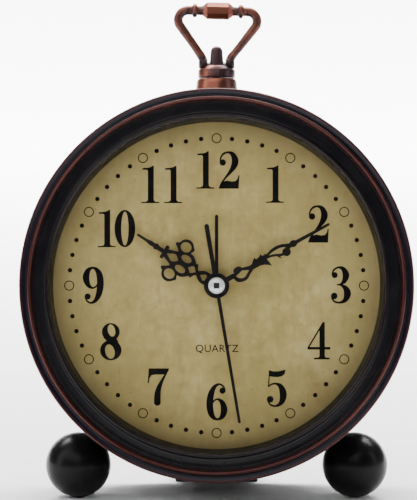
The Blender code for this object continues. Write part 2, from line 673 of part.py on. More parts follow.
def minute_outlines():
    """Solid and pierced outlines of the openwork minute hand, pointing up: loop, leaf, thorn, loop, ball and bead."""
    loop = [(6.2, 0.2), (6.0, 1.0), (6.3, 1.9), (7.2, 2.7), (8.9, 3.07), (10.3, 2.7), (11.6, 1.8), (12.6, 1.3),
            (12.9, 0.4), (12.6, -0.4), (11.0, -0.85), (9.5, -1.2), (7.4, -1.2), (6.6, -0.6)]
    eye = [(7.05, 0.35), (7.4, 1.2), (8.4, 1.85), (9.4, 1.94), (10.4, 1.4), (11.5, 0.65), (10.4, 0.1), (9.5, -0.3),
           (8.4, 0.0)]
    leaf = [(12.3, -0.45), (13.4, -0.65), (14.2, -1.5), (15.0, -2.05), (15.3, -1.35), (16.3, -1.5), (17.3, -2.15),
            (17.5, -1.4), (18.2, -1.3), (18.75, -1.65), (18.9, -1.0), (19.3, -0.6), (18.9, 0.0), (18.4, 0.4),
            (18.6, 1.6), (18.85, 3.0), (17.9, 2.2), (16.8, 1.5), (15.5, 1.13), (13.3, 1.13), (12.5, 1.25)]
    solids = [circle(4.1, points=24), stroke([(3.0, -0.1, 1.6), (6.6, -0.1, 1.6)], 1)]
    solids += [oval(-1.13, 8.35, 1.05, 1.5), [(q, s) for s, q in loop], [(q, s) for s, q in leaf]]
    solids.append(stroke([(18.6, -0.6, 0.9), (19.8, -1.0, 0.85), (21.2, -1.35, 1.0), (22.8, -1.45, 1.05),
                          (24.4, -1.25, 1.05), (26.0, -0.55, 1.1), (27.3, -0.1, 1.2)], 2))
    solids.append(stroke([(18.6, -0.2, 0.8), (20.2, 0.1, 0.75), (21.6, 0.6, 0.8), (22.8, 1.2, 0.85),
                          (24.0, 1.5, 0.9)], 2))
    solids.append(stroke([(22.0, 0.9, 0.8), (22.6, 2.25, 0.25)], 1))
    solids.append(circle(1.38, 1.3, 25.05, 20))
    solids.append(stroke([(25.2, 0.9, 1.6), (26.4, 0.2, 1.4), (27.3, 0.0, 1.3)], 2))
    solids.append(stroke([(27.1, 0, 1.4), (27.9, 0, 2.15), (28.7, 0, 2.15), (29.3, 0, 1.4), (30.2, 0, 1.2),
                          (36.0, 0, 1.02), (41.2, 0, 0.86)], 2))
    solids.append(circle(0.43, 0, 41.2, 12))
    return solids, [[(q, s) for s, q in eye]]


def make_hands(clock):
    """The four hands, stacked on their pipes and turned to their places on the dial."""
    alarm = [circle(3.9, points=24), circle(0.54, 0, 22.4, 10)]
    alarm.append(stroke([(3.0, 0, 1.2), (10.0, 0, 1.1), (22.4, 0, 1.08)]))
    bm = layered((-1.4, -1.0, alarm, [circle(3.05, points=20)]))
    piece("alarm_hand", bm, "black_paint", clock, spin=ALARM_ANGLE)
    solids, holes = hour_outlines()
    bm = layered((-2.4, -2.0, solids, holes + [circle(2.2, points=20)]))
    piece("hour_hand", bm, "black_paint", clock, spin=HOUR_ANGLE)
    solids, holes = minute_outlines()
    bm = layered((-3.4, -3.0, solids, holes + [circle(1.35, points=16)]))
    piece("minute_hand", bm, "black_paint", clock, spin=MINUTE_ANGLE)
    second = [circle(2.4, points=24), circle(0.75, 0, -19.4, 12), circle(0.45, 0, 44.6, 10)]
    second.append(stroke([(-19.4, 0, 1.5), (-2, 0, 1.3), (0, 0, 1.2), (20, 0, 0.95), (44.6, 0, 0.9)], 2))
    bm = layered((-4.4, -4.1, second, [circle(0.55, points=16)]))
    piece("second_hand", bm, "black_paint", clock, spin=SECOND_ANGLE)
    cap = [(0, -5.8), (1.6, -5.65), (2.4, -5.3), (2.67, -4.9), (2.67, -4.7), (0, -4.7)]
    piece("second_hand_cap", turned(cap, SMALL_FACETS), "chrome", clock)


# ---------------------------------------------------------------- movement

def at_axis(position):
    """Place of an arbor at (x, z)."""
    return (position[0], 0, position[1])


def module_for(distance, first, second):
    """Module of two gears that mesh at that distance."""
    return 2 * distance / (first + second)


def widened(layer, by=0.1):
    """The layer, a little thicker on both sides."""
    return (layer[0] - by, layer[1] + by)


def make_plates(clock):
    """Front, middle and rear plates of the movement; the front one carries four pillars."""
    outline = rectangle(-PLATE_HALF[0], PLATE_HALF[0], -PLATE_HALF[1], PLATE_HALF[1])
    pillars = [circle(PILLAR_R, x, z, 8) for x, z in PILLARS]
    bores = [circle(1.0, x, z, 8) for x, z in PILLARS]
    front = layered(
        (FRONT_PLATE[0], FRONT_PLATE[1], [outline], [circle(3.4, points=16)]),
        (FRONT_PLATE[1], 12.0, pillars, []),
        (12.0, REAR_PLATE[0] - GAP, pillars, bores),
    )
    piece("movement_front_plate", front, "white_plastic", clock)
    clear = [circle(PILLAR_R + GAP, x, z, 8) for x, z in PILLARS]
    shafts = [circle(1.5, *TIME_SET, 12), circle(1.5, *ALARM_SET, 12)]
    middle = layered((MIDDLE_PLATE[0], MIDDLE_PLATE[1], [outline], clear + shafts + [circle(1.55, points=20)]))
    piece("movement_middle_plate", middle, "white_plastic", clock)
    holes = bores + shafts + [circle(0.7, *CENTRE, 12)]
    piece("movement_rear_plate", layered((*REAR_PLATE, [outline], holes)), "white_plastic", clock)
    for number, (x, z) in enumerate((PILLARS[0], PILLARS[3]), 1):
        place = (x, REAR_PLATE[1] + GAP, z)
        add_screw(f"movement_screw_{number}", clock, place, (0, 0, pi), 1.7, 0.9, 0.7, 6.0)


def make_going_train(clock):
    """Rotor, intermediate, seconds, third and centre wheels, each with its arbor and pinion."""
    module = module_for(ROTOR_DISTANCE, INTERMEDIATE_TEETH, ROTOR_PINION)
    toward = degrees(atan2(ROTOR[1] - INTERMEDIATE[1], ROTOR[0] - INTERMEDIATE[0]))
    pinion = gear_outline(ROTOR_PINION, module, toward + 180, gap=True)
    arbor = circle(0.5, points=10)
    rotor = layered(
        (12.6, INTERMEDIATE_LAYER[0] - 0.1, [arbor], []),
        (*widened(INTERMEDIATE_LAYER), [pinion], []),
        (INTERMEDIATE_LAYER[1] + 0.1, MAGNET_LAYER[0], [arbor], []),
        (*MAGNET_LAYER, [circle(2.5, points=16)], []),
        (MAGNET_LAYER[1], REAR_PLATE[0] - GAP, [arbor], []),
    )
    piece("rotor", rotor, "black_plastic", clock, at_axis(ROTOR))

    wheel = gear_outline(INTERMEDIATE_TEETH, module, toward)
    module = module_for(INTERMEDIATE_DISTANCE, SECONDS_TEETH, INTERMEDIATE_PINION)
    pinion = gear_outline(INTERMEDIATE_PINION, module, 90, gap=True)
    intermediate = layered(
        (MIDDLE_PLATE[1] + GAP, SECONDS_LAYER[0] - 0.1, [arbor], []),
        (*widened(SECONDS_LAYER), [pinion], []),
        (SECONDS_LAYER[1] + 0.1, INTERMEDIATE_LAYER[0], [arbor], []),
        (*INTERMEDIATE_LAYER, [wheel], []),
        (INTERMEDIATE_LAYER[1], REAR_PLATE[0] - GAP, [arbor], []),
    )
    piece("intermediate_wheel", intermediate, "natural_plastic", clock, at_axis(INTERMEDIATE))

    wheel = gear_outline(SECONDS_TEETH, module, -90)
    module = module_for(THIRD_DISTANCE, THIRD_TEETH, SECONDS_PINION)
    pinion = gear_outline(SECONDS_PINION, module, 90, gap=True)
    thin, pivot = circle(0.45, points=12), circle(0.4, points=12)
    seconds = layered(
        (-4.65, THIRD_LAYER[0] - 0.1, [thin], []),
        (*widened(THIRD_LAYER), [pinion], []),
        (THIRD_LAYER[1] + 0.1, SECONDS_LAYER[0], [circle(0.9, points=12)], []),
        (*SECONDS_LAYER, [wheel], []),
        (SECONDS_LAYER[1], REAR_PLATE[1], [pivot], []),
    )
    piece("seconds_wheel", seconds, "white_plastic", clock)

    wheel = gear_outline(THIRD_TEETH, module, -90)
    module = module_for(THIRD_DISTANCE, CENTRE_TEETH, THIRD_PINION)
    pinion = gear_outline(THIRD_PINION, module, -90, gap=True)
    third = layered(
        (*widened(CENTRE_LAYER), [pinion], []),
        (CENTRE_LAYER[1] + 0.1, THIRD_LAYER[0], [arbor], []),
        (*THIRD_LAYER, [wheel], []),
        (THIRD_LAYER[1], REAR_PLATE[0] - GAP, [arbor], []),
    )
    piece("third_wheel", third, "natural_plastic", clock, at_axis(THIRD))

    wheel = gear_outline(CENTRE_TEETH, module, 90)
    centre = layered((*CENTRE_LAYER, [wheel], [circle(1.4, points=20)]))
    piece("centre_wheel", centre, "brass", clock)


def make_motion_work(clock):
    """Minute pipe, minute works wheel and hour wheel, which turn the hour hand at a twelfth of the minute hand."""
    module = module_for(WORKS_DISTANCE, CANNON_PINION, WORKS_TEETH)
    cannon = gear_outline(CANNON_PINION, module, 0, gap=True)
    tube, bore = circle(1.25, points=16), circle(0.7, points=16)
    pipe = layered(
        (-3.5, WORKS_LAYER[0] - 0.1, [tube], [bore]),
        (*widened(WORKS_LAYER), [cannon], [bore]),
        (WORKS_LAYER[1] + 0.1, CENTRE_LAYER[1] + 0.1, [tube], [bore]),
    )
    piece("minute_pipe", pipe, "brass", clock)

    wheel = gear_outline(WORKS_TEETH, module, 180)
    module = module_for(WORKS_DISTANCE, WORKS_PINION, HOUR_TEETH)
    pinion = gear_outline(WORKS_PINION, module, 180, gap=True)
    arbor = circle(0.6, points=10)
    works = layered(
        (FRONT_PLATE[1] + GAP, HOUR_LAYER[0] - 0.1, [arbor], []),
        (*widened(HOUR_LAYER), [pinion], []),
        (HOUR_LAYER[1] + 0.1, WORKS_LAYER[0], [arbor], []),
        (*WORKS_LAYER, [wheel], []),
        (WORKS_LAYER[1], MIDDLE_PLATE[0] - GAP, [arbor], []),
    )
    piece("minute_works_wheel", works, "natural_plastic", clock, at_axis(WORKS))

    tube, bore = circle(2.1, points=20), circle(1.55, points=20)
    hour = layered(
        (-2.5, HOUR_LAYER[0], [tube], [bore]),
        (*HOUR_LAYER, [gear_outline(HOUR_TEETH, module, 0)], [bore]),
    )
    piece("hour_wheel", hour, "natural_plastic", clock)


def make_alarm_work(clock):
    """Alarm wheel on the outermost pipe, and the idler between it and the setting shaft."""
    module = module_for(IDLER_DISTANCE, ALARM_TEETH, IDLER_TEETH)
    tube, bore = circle(2.95, points=20), circle(2.4, points=20)
    alarm = layered(
        (-1.5, ALARM_LAYER[0], [tube], [bore]),
        (*ALARM_LAYER, [gear_outline(ALARM_TEETH, module, 180)], [bore]),
    )
    piece("alarm_wheel", alarm, "white_plastic", clock)
    arbor = circle(0.6, points=10)
    idler = layered(
        (*ALARM_LAYER, [gear_outline(IDLER_TEETH, module, 0, gap=True)], []),
        (ALARM_LAYER[1], MIDDLE_PLATE[0] - GAP, [arbor], []),
    )
    piece("alarm_idler_wheel", idler, "natural_plastic", clock, at_axis(IDLER))
    leaf = [(-8.0, 5.4), (-6.0, 5.4), (4.0, 6.9), (9.0, 6.6), (9.0, 6.9), (4.0, 7.2), (-6.0, 5.7), (-8.0, 5.7)]
    piece("alarm_contact_spring", strip(leaf, 11.0, 14.0), "brass", clock)


def make_setting_shafts(clock):
    """Two long setting shafts with their pinions, and the fluted knobs on their ends."""
    works_module = module_for(WORKS_DISTANCE, CANNON_PINION, WORKS_TEETH)
    alarm_module = module_for(IDLER_DISTANCE, ALARM_TEETH, IDLER_TEETH)
    stem, bore = circle(1.2, points=10), circle(1.4, points=10)
    rim = fluted(KNOB_R, 0.7, 12)
    for name, place, layer, module, gap in (
        ("time_set", TIME_SET, WORKS_LAYER, works_module, True),
        ("alarm_set", ALARM_SET, ALARM_LAYER, alarm_module, False),
    ):
        pinion = gear_outline(SETTING_PINION, module, 0, gap)
        teeth = widened(layer)
        shaft = layered((*teeth, [pinion], []), (teeth[1], KNOB_REAR - 2.6, [stem], []))
        piece(name + "_shaft", shaft, "white_plastic", clock, at_axis(place))
        knob = layered(
            (KNOB_FRONT, KNOB_REAR - 2.3, [rim], [bore]),
            (KNOB_REAR - 2.3, KNOB_REAR - 0.8, [rim], []),
            (KNOB_REAR - 0.8, KNOB_REAR, [circle(KNOB_FACE_R, points=36)], []),
        )
        piece(name + "_knob", knob, "black_plastic", clock, at_axis(place))


def make_motor(clock):
    """Stator, coil and its core, circuit board and quartz crystal."""
    low, high = -24.2, -11.2
    stator = layered((
        *STATOR_LAYER,
        [[(-17.5, low), (-14.3, low), (-14.3, -19.0), (2.3, -19.0), (2.3, low), (11.0, low), (11.0, high), (2.0, high),
          (0.0, -18.2), (-17.5, -16.5)]],
        [circle(3.0, *ROTOR, 20)],
    ))
    piece("stator_plate", stator, "steel", clock)
    core = (STATOR_LAYER[1] + GAP, STATOR_LAYER[1] + GAP + 0.6)
    piece("coil_core", block(-17.3, 6.0, *core, -23.6, -20.8), "steel", clock)
    middle_y, middle_z = sum(core) / 2, -22.2
    bore = rectangle(-0.5, 0.5, -1.6, 1.6)
    flange, winding = circle(2.1, points=14), circle(1.8, points=14)
    coil = layered(
        (-13.5, -12.7, [flange], [bore]), (-12.7, 0.7, [winding], [bore]), (0.7, 1.5, [flange], [bore])
    )
    coil = along(coil, Matrix.Translation((0, middle_y, middle_z)) @ Y_TO_X)
    piece("drive_coil", coil, "winding", clock)
    board = layered((17.4, 18.4, [rectangle(-12, 22, 13.0, 20.5)], []))
    piece("circuit_board", board, "circuit", clock)
    crystal = along(turned([(0, -3.0), (0.9, -3.0), (1.0, -2.9), (1.0, 2.9), (0.9, 3.0), (0, 3.0)], 14), Y_TO_X)
    piece("quartz_crystal", crystal, "chrome", clock, (0, 16.0, 17.0))


def make_power(clock):
    """Battery, its contacts and the leads to the circuit board."""
    y, z = 34.6, sum(BAY_Z) / 2
    end = 25.4
    cell = [(0, -23.9), (BATTERY_R - 0.4, -23.9), (BATTERY_R, -23.5), (BATTERY_R, end - 0.4), (BATTERY_R - 0.4, end)]
    cell += [(2.75, end), (2.75, end + 1.1), (0, end + 1.1)]
    piece("battery_cell", along(turned(cell, SMALL_FACETS), Y_TO_X), "cell", clock, (0, y, z))
    plate = block(26.8, 27.2, 28.0, 40.0, -36.5, -24.0)
    piece("battery_contact_positive", plate, "steel", clock)
    leaf = [(-27.2, 28.0), (-26.8, 28.0), (-26.8, 33.0), (-24.2, 34.6), (-24.2, 35.2), (-26.9, 36.6), (-27.2, 36.4)]
    piece("battery_contact_negative", strip(leaf, -36.5, -24.0), "steel", clock)
    for name, finish, sign, board_x in (("red", "red_plastic", 1, 14.0), ("black", "black_plastic", -1, -10.0)):
        x = sign * 25.9
        route = [(x, 27.6, -25.2), (x, 25.0, -25.2), (x, 23.2, -25.2), (x * 0.98, 22.4, -23.0), (x * 1.05, 22.1, -18.0),
                 (x * 1.13, 22.0, -8.0), (x * 1.15, 21.8, 4.0), (x * 1.14, 20.6, 12.0), (x * 1.1, 18.9, 16.6)]
        if sign > 0:
            route += [(x * 1.0, 18.0, 17.6), (23.0, 17.9, 17.8)]
        else:
            route += [(x * 1.0, 18.0, 17.6), (-20.0, 17.9, 17.8), (-13.0, 17.9, 17.8)]
        piece(f"battery_lead_{name}", swept(route, 0.5, 8), finish, clock)


def make_alarm_parts(clock):
    """Sounder disc behind the sound holes, the alarm switch slider and the leaf that it presses."""
    disc = [(0, 41.4), (12.3, 41.4), (12.3, 42.0), (9.0, 42.0), (9.0, 42.3), (0, 42.3)]
    piece("piezo_sounder", turned(disc, SMALL_FACETS), "brass", clock, (0, 0, BUZZER_Z))
    rest = -SWITCH_TRAVEL / 2

    def plate(half_width, half_height):
        return rectangle(rest - half_width, rest + half_width, SWITCH_Z - half_height, SWITCH_Z + half_height)

    ridges = [rectangle(rest + x, rest + x + 0.9, SWITCH_Z - 2.4, SWITCH_Z + 2.4) for x in (-2.1, -0.45, 1.2)]
    slider = layered(
        (41.3, COVER_FRONT - GAP, [plate(3.6, 2.6)], []),
        (COVER_FRONT - GAP, COVER_REAR + GAP, [plate(1.6, 1.25)], []),
        (COVER_REAR + GAP, 45.9, [plate(4.6, 2.8)], []),
        (45.9, 47.4, ridges, []),
    )
    piece("alarm_switch_slider", slider, "white_plastic", clock)
    leaf = [(-9.0, 38.6), (-8.4, 38.6), (-8.4, 39.6), (6.0, 40.4), (9.0, 39.8), (9.0, 40.1), (6.0, 40.9), (-9.0, 40.0)]
    piece("alarm_switch_contact", strip(leaf, SWITCH_Z - 1.5, SWITCH_Z + 1.5), "brass", clock)


# ---------------------------------------------------------------- assembly

def stand():
    """Empty that leans the clock back on its feet, centred between the bezel's bead and the knobs' ends."""
    lift = REAR_FOOT_Y * sin(LEAN) + REAR_FOOT_DROP * cos(LEAN)
    back = KNOB_REAR * cos(LEAN) + KNOB_FACE_R * sin(LEAN)
    ahead = BEAD_FRONT * cos(LEAN) - BEAD_R * sin(LEAN)
    frame = empty("clock_frame", None, (0, -MM * (back + ahead) / 2, MM * lift), (-LEAN, 0, 0))
    frame.scale = (MM, MM, MM)
    return frame


def main():
    for obj in list(bpy.data.objects):
        bpy.data.objects.remove(obj, do_unlink=True)
    clock = stand()
    make_bezel(clock)
    make_glass_and_dial(clock)
    make_drum(clock)
    make_carrier(clock)
    make_rear_cover(clock)
    make_battery_door(clock)
    make_rear_screws(clock)
    make_feet(clock)
    make_crown(clock)
    make_bail(clock)
    make_hands(clock)
    make_plates(clock)
    make_going_train(clock)
    make_motion_work(clock)
    make_alarm_work(clock)
    make_setting_shafts(clock)
    make_motor(clock)
    make_power(clock)
    make_alarm_parts(clock)


main()
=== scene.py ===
"""Looks of the retro alarm clock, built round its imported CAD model.

Each fine piece is drawn in the clock's own upright frame, in millimetres: x to the right, y from the dial to
the rear cover, z up through the numeral 12. One matrix leans it back and brings it to metres, as in the CAD.
"""
import json
from math import atan2, cos, degrees, hypot, pi, radians, sin, sqrt, tan

import bmesh
import bpy
from mathutils import Matrix, Vector
from mathutils.geometry import delaunay_2d_cdt


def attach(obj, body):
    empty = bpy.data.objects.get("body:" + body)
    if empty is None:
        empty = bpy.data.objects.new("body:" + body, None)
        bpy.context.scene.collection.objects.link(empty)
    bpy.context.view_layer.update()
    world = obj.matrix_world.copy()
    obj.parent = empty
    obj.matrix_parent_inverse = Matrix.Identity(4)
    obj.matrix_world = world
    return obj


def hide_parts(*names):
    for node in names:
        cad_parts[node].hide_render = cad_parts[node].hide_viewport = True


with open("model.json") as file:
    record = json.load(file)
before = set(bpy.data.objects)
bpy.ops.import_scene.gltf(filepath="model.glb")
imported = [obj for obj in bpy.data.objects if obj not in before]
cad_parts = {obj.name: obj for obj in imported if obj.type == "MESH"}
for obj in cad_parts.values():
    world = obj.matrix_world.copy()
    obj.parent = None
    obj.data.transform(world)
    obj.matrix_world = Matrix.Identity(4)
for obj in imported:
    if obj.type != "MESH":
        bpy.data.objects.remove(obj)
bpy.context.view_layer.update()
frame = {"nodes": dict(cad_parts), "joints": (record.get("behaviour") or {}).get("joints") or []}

MM = 0.001

# Case, in millimetres.
BEZEL_R = 63.5
DRUM_R = 62.3
DRUM_FRONT = -4.0
DRUM_REAR = 44.0
GLASS_R = 57.0
DIAL_R = 57.0
DIAL_SEEN_R = 54.0
GAP = 0.3
FOOT_R = 10.7
FOOT_X = 45.5
FOOT_DROP = 58.9
FOOT_Y = 14.0
FOOT_SEAT_R = 64.2
REAR_FOOT_Y = 50.0
REAR_FOOT_DROP = 66.2
SCREW_HOLE_R = 1.7

# Crown and bail.
CROWN_Y = 16.0
PIVOT_Z = 73.1
BAIL_TOP = 17.5
BAIL_ARM_SLOPE = 0.745
BAIL_CORNER_R = 3.2
BAIL_CORNER_X = 9.8
BAIL_TILT = radians(1.4)
EYE_X = 4.45
EYE_R = 2.1
EYE_THICKNESS = 2.9

# Dial and hands.
HOUR_ANGLE = 302.9
MINUTE_ANGLE = 61.3
SECOND_ANGLE = 170.5
ALARM_ANGLE = 0.0
TRACK_R = 47.8
DOT_R = 0.72
RING_R = 1.64
RING_LINE = 0.31
NUMERAL_HEIGHT = 12.1
NUMERAL_PLACES = {
    12: (0.3, 37.5), 1: (18.95, 32.9), 2: (33.0, 20.0), 3: (40.1, 0.2), 4: (33.2, -17.9), 5: (19.4, -33.3),
    6: (0.1, -37.7), 7: (-18.9, -32.9), 8: (-34.3, -18.2), 9: (-40.0, 0.1), 10: (-32.4, 18.5),
    11: (-17.8, 32.8),
}

# Rear cover.
COVER_FRONT = 42.7
COVER_REAR = 44.7
COVER_R = 60.8
BOSS_RING_R = 54.5
BOSS_ANGLES = (0, 110, 250)
BAY_HALF_LENGTH = 27.5
BAY_Z = (-40.0, -23.5)
BAY_FLOOR = (24.0, 25.5)
DOOR_HALF_LENGTH = 29.0
SWITCH_Z = 22.0
SWITCH_REST = -2.0
BUZZER_Z = 38.8
KNOB_R = 8.0
KNOB_FRONT = 46.2
KNOB_REAR = 53.0
TIME_SET = (18.0, 0.0)
ALARM_SET = (-19.2, 0.0)

# Sides of large and small turned pieces, and the angle in degrees from which an edge is drawn sharp.
ROUND = 192
SMALL_ROUND = 48
SHARP_ANGLE = 32


def clock_matrix():
    """Matrix from the clock's upright frame in millimetres to the row frame, from the hands' axis."""
    joint = next(j for j in frame["joints"] if j["name"] == "second_hand_turn")
    across, back, origin = Vector((1, 0, 0)), Vector(joint["axis"]), Vector(joint["pos_m"])
    up = across.cross(back)
    columns = [v.to_4d() * MM for v in (across, back, up)]
    matrix = Matrix.Identity(4)
    for n, column in enumerate(columns):
        for k in range(3):
            matrix[k][n] = column[k]
    for k in range(3):
        matrix[k][3] = origin[k]
    return matrix


CLOCK = clock_matrix()
LEAN = -atan2(CLOCK[2][1], CLOCK[1][1])


# ---------------------------------------------------------------- places and outlines

def moved(x=0.0, y=0.0, z=0.0):
    """Matrix that moves by (x, y, z)."""
    return Matrix.Translation((x, y, z))


def spun(angle, axis):
    """Matrix that turns by an angle in degrees round an axis."""
    return Matrix.Rotation(radians(angle), 4, axis)


Y_TO_X = spun(-90, "Z")
Y_TO_Z = spun(90, "X")


def round_turn(count):
    """Angles of a whole turn in equal steps."""
    return [2 * pi * k / count for k in range(count)]


def circle(radius, x=0.0, z=0.0, points=64):
    """Points of a circle round (x, z)."""
    return [(x + radius * cos(a), z + radius * sin(a)) for a in round_turn(points)]


def oval(x, z, half_width, half_height, tilt=0.0, points=40):
    """Points of an ellipse round (x, z), turned by tilt degrees."""
    c, s = cos(radians(tilt)), sin(radians(tilt))
    flat = [(half_width * cos(a), half_height * sin(a)) for a in round_turn(points)]
    return [(x + a * c - b * s, z + a * s + b * c) for a, b in flat]


def rectangle(x0, x1, z0, z1):
    """Corners of an upright rectangle."""
    return [(x0, z0), (x1, z0), (x1, z1), (x0, z1)]


def arc(cx, cy, radius, start, end, steps):
    """Points of an arc from start to end, in degrees from the first axis."""
    angles = [radians(start + (end - start) * k / steps) for k in range(steps + 1)]
    return [(cx + radius * cos(a), cy + radius * sin(a)) for a in angles]


def smooth_line(points, steps):
    """Catmull-Rom curve through the points."""
    line = []
    for k in range(len(points) - 1):
        p0, p1 = points[max(k - 1, 0)], points[k]
        p2, p3 = points[k + 1], points[min(k + 2, len(points) - 1)]
        for step in range(steps):
            t = step / steps
            line.append(tuple(
                0.5 * (2 * b + (c - a) * t + (2 * a - 5 * b + 4 * c - d) * t * t
                       + (3 * b - a - 3 * c + d) * t ** 3)
                for a, b, c, d in zip(p0, p1, p2, p3)
            ))
    line.append(tuple(points[-1]))
    return line


def closed_curve(points, steps=4):
    """Closed Catmull-Rom outline through the points."""
    ring = [points[-1]] + list(points) + list(points[:2])
    line = smooth_line(ring, steps)
    return line[steps:-steps - 1]


def ribbon(points, steps=6):
    """Ribbon outline along a curve through points (x, z, width)."""
    line = smooth_line(points, steps)
    left, right = [], []
    for k, (x, z, width) in enumerate(line):
        x0, z0, _ = line[max(k - 1, 0)]
        x1, z1, _ = line[min(k + 1, len(line) - 1)]
        length = hypot(x1 - x0, z1 - z0)
        nx, nz = -(z1 - z0) / length, (x1 - x0) / length
        left.append((x + nx * width / 2, z + nz * width / 2))
        right.append((x - nx * width / 2, z - nz * width / 2))
    return left + right[::-1]


def stroke(points, steps=6):
    """Ribbon along points (s, q, width) of a hand: s runs up the hand and q to its right."""
    return ribbon([(q, s, width) for s, q, width in points], steps)


def softened(profile, radius=0.2, steps=3):
    """The closed profile with its corners rounded."""
    made = []
    count = len(profile)
    for k, (r, y) in enumerate(profile):
        before, after = profile[k - 1], profile[(k + 1) % count]
        if r < 1e-6:
            made.append((r, y))
            continue
        ends = []
        for other in (before, after):
            length = hypot(other[0] - r, other[1] - y)
            share = min(radius, 0.45 * length) / max(length, 1e-9)
            ends.append((r + (other[0] - r) * share, y + (other[1] - y) * share))
        for step in range(steps + 1):
            t = step / steps
            a, b, c = (1 - t) ** 2, 2 * t * (1 - t), t * t
            made.append((a * ends[0][0] + b * r + c * ends[1][0], a * ends[0][1] + b * y + c * ends[1][1]))
    return made


# ---------------------------------------------------------------- solids

def anticlockwise(outline):
    """The outline, with its points in anticlockwise order."""
    area = sum(a[0] * b[1] - b[0] * a[1] for a, b in zip(outline, outline[1:] + outline[:1]))
    return list(outline) if area > 0 else list(outline)[::-1]


def layered(*levels):
    """Solid made of adjoining levels (y0, y1, solids, holes), each cut by outlines of (x, z) points."""
    outlines = []
    for _, _, solids, holes in levels:
        for outline in solids + holes:
            if outline not in outlines:
                outlines.append(outline)
    points, faces = [], []
    for outline in outlines:
        faces.append(list(range(len(points), len(points) + len(outline))))
        points += [Vector(p) for p in anticlockwise(outline)]
    flat, _, triangles, _, _, inside = delaunay_2d_cdt(points, [], faces, 1, 1e-5)
    solid = []
    for _, _, solids, holes in levels:
        inner = {outlines.index(o) for o in solids}
        outer = {outlines.index(o) for o in holes}
        solid.append([bool(inner & set(c)) and not outer & set(c) for c in inside])
    sides = {}
    for t, corners in enumerate(triangles):
        for a, b in zip(corners, corners[1:] + corners[:1]):
            sides.setdefault(frozenset((a, b)), []).append(t)
    bm = bmesh.new()
    made = {}

    def vertex(i, y):
        if (i, y) not in made:
            made[i, y] = bm.verts.new((flat[i][0], y, flat[i][1]))
        return made[i, y]

    for level, (y0, y1, _, _) in enumerate(levels):
        for t, corners in enumerate(triangles):
            if not solid[level][t]:
                continue
            if level == 0 or not solid[level - 1][t]:
                bm.faces.new([vertex(i, y0) for i in corners])
            if level == len(levels) - 1 or not solid[level + 1][t]:
                bm.faces.new([vertex(i, y1) for i in reversed(corners)])
            for a, b in zip(corners, corners[1:] + corners[:1]):
                beyond = [n for n in sides[frozenset((a, b))] if n != t]
                if not beyond or not solid[level][beyond[0]]:
                    bm.faces.new([vertex(b, y0), vertex(a, y0), vertex(a, y1), vertex(b, y1)])
    bm.normal_update()
    bmesh.ops.dissolve_limit(bm, angle_limit=radians(0.3), verts=bm.verts, edges=bm.edges)
    bmesh.ops.recalc_face_normals(bm, faces=bm.faces)
    return bm


def turned(profile, segments=ROUND):
    """Solid of revolution round Y, from a closed profile of (radius, y) points."""
    bm = bmesh.new()
    turns = round_turn(segments)
    rings = []
    for r, y in profile:
        spots = [(0.0, y, 0.0)] if r < 1e-6 else [(r * cos(a), y, r * sin(a)) for a in turns]
        rings.append([bm.verts.new(p) for p in spots])
    for near, far in zip(rings, rings[1:] + rings[:1]):
        if len(near) == len(far) == 1:
            continue
        for n in range(segments):
            m = (n + 1) % segments
            if len(near) == 1:
                bm.faces.new([near[0], far[n], far[m]])
            elif len(far) == 1:
                bm.faces.new([near[m], near[n], far[0]])
            else:
                bm.faces.new([near[n], far[n], far[m], near[m]])
    bmesh.ops.recalc_face_normals(bm, faces=bm.faces)
    return bm


def lofted(outline, levels):
    """Solid through copies of an outline, at levels (y, inset): inset moves each point towards the axis."""
    bm = bmesh.new()
    rings = []
    for y, inset in levels:
        ring = []
        for x, z in outline:
            share = 1 - inset / hypot(x, z)
            ring.append(bm.verts.new((x * share, y, z * share)))
        rings.append(ring)
    count = len(outline)
    for near, far in zip(rings, rings[1:]):
        for n in range(count):
            m = (n + 1) % count
            bm.faces.new([near[n], far[n], far[m], near[m]])
    bm.faces.new(rings[0])
    bm.faces.new(rings[-1])
    bmesh.ops.recalc_face_normals(bm, faces=bm.faces)
    return bm


def swept(path, radii, sides=28):
    """Oval bar along a path in the XZ plane, with half widths (in the plane, along Y) at each point."""
    bm = bmesh.new()
    path = [Vector(p) for p in path]
    rings = []
    across = Vector((0, 1, 0))
    for k, point in enumerate(path):
        ahead = (path[min(k + 1, len(path) - 1)] - path[max(k - 1, 0)]).normalized()
        side = ahead.cross(across)
        wide, deep = radii[k]
        ring = [point + side * cos(a) * wide + across * sin(a) * deep for a in round_turn(sides)]
        rings.append([bm.verts.new(p) for p in ring])
    for ring, following in zip(rings, rings[1:]):
        for n in range(sides):
            m = (n + 1) % sides
            bm.faces.new([ring[n], ring[m], following[m], following[n]])
    bm.faces.new(rings[0])
    bm.faces.new(rings[-1])
    bmesh.ops.recalc_face_normals(bm, faces=bm.faces)
    return bm


def along(bm, turn):
    """The solid, moved by a matrix."""
    bm.transform(turn)
    bm.normal_update()
    return bm


def mesh_of(bm, name):
    """Mesh data made from a solid, which is used up."""
    mesh = bpy.data.meshes.new(name)
    bm.to_mesh(mesh)
    bm.free()
    return mesh


def placed(name, data, place=None):
    """New object in the scene, at a matrix if one is given."""
    obj = bpy.data.objects.new(name, data)
    bpy.context.scene.collection.objects.link(obj)
    if place is not None:
        obj.matrix_world = place
    return obj


def merged(solids):
    """One mesh of several solids that don't meet."""
    whole = bmesh.new()
    for bm in solids:
        part = mesh_of(bm, "part")
        whole.from_mesh(part)
        bpy.data.meshes.remove(part)
    return whole


# ---------------------------------------------------------------- pieces

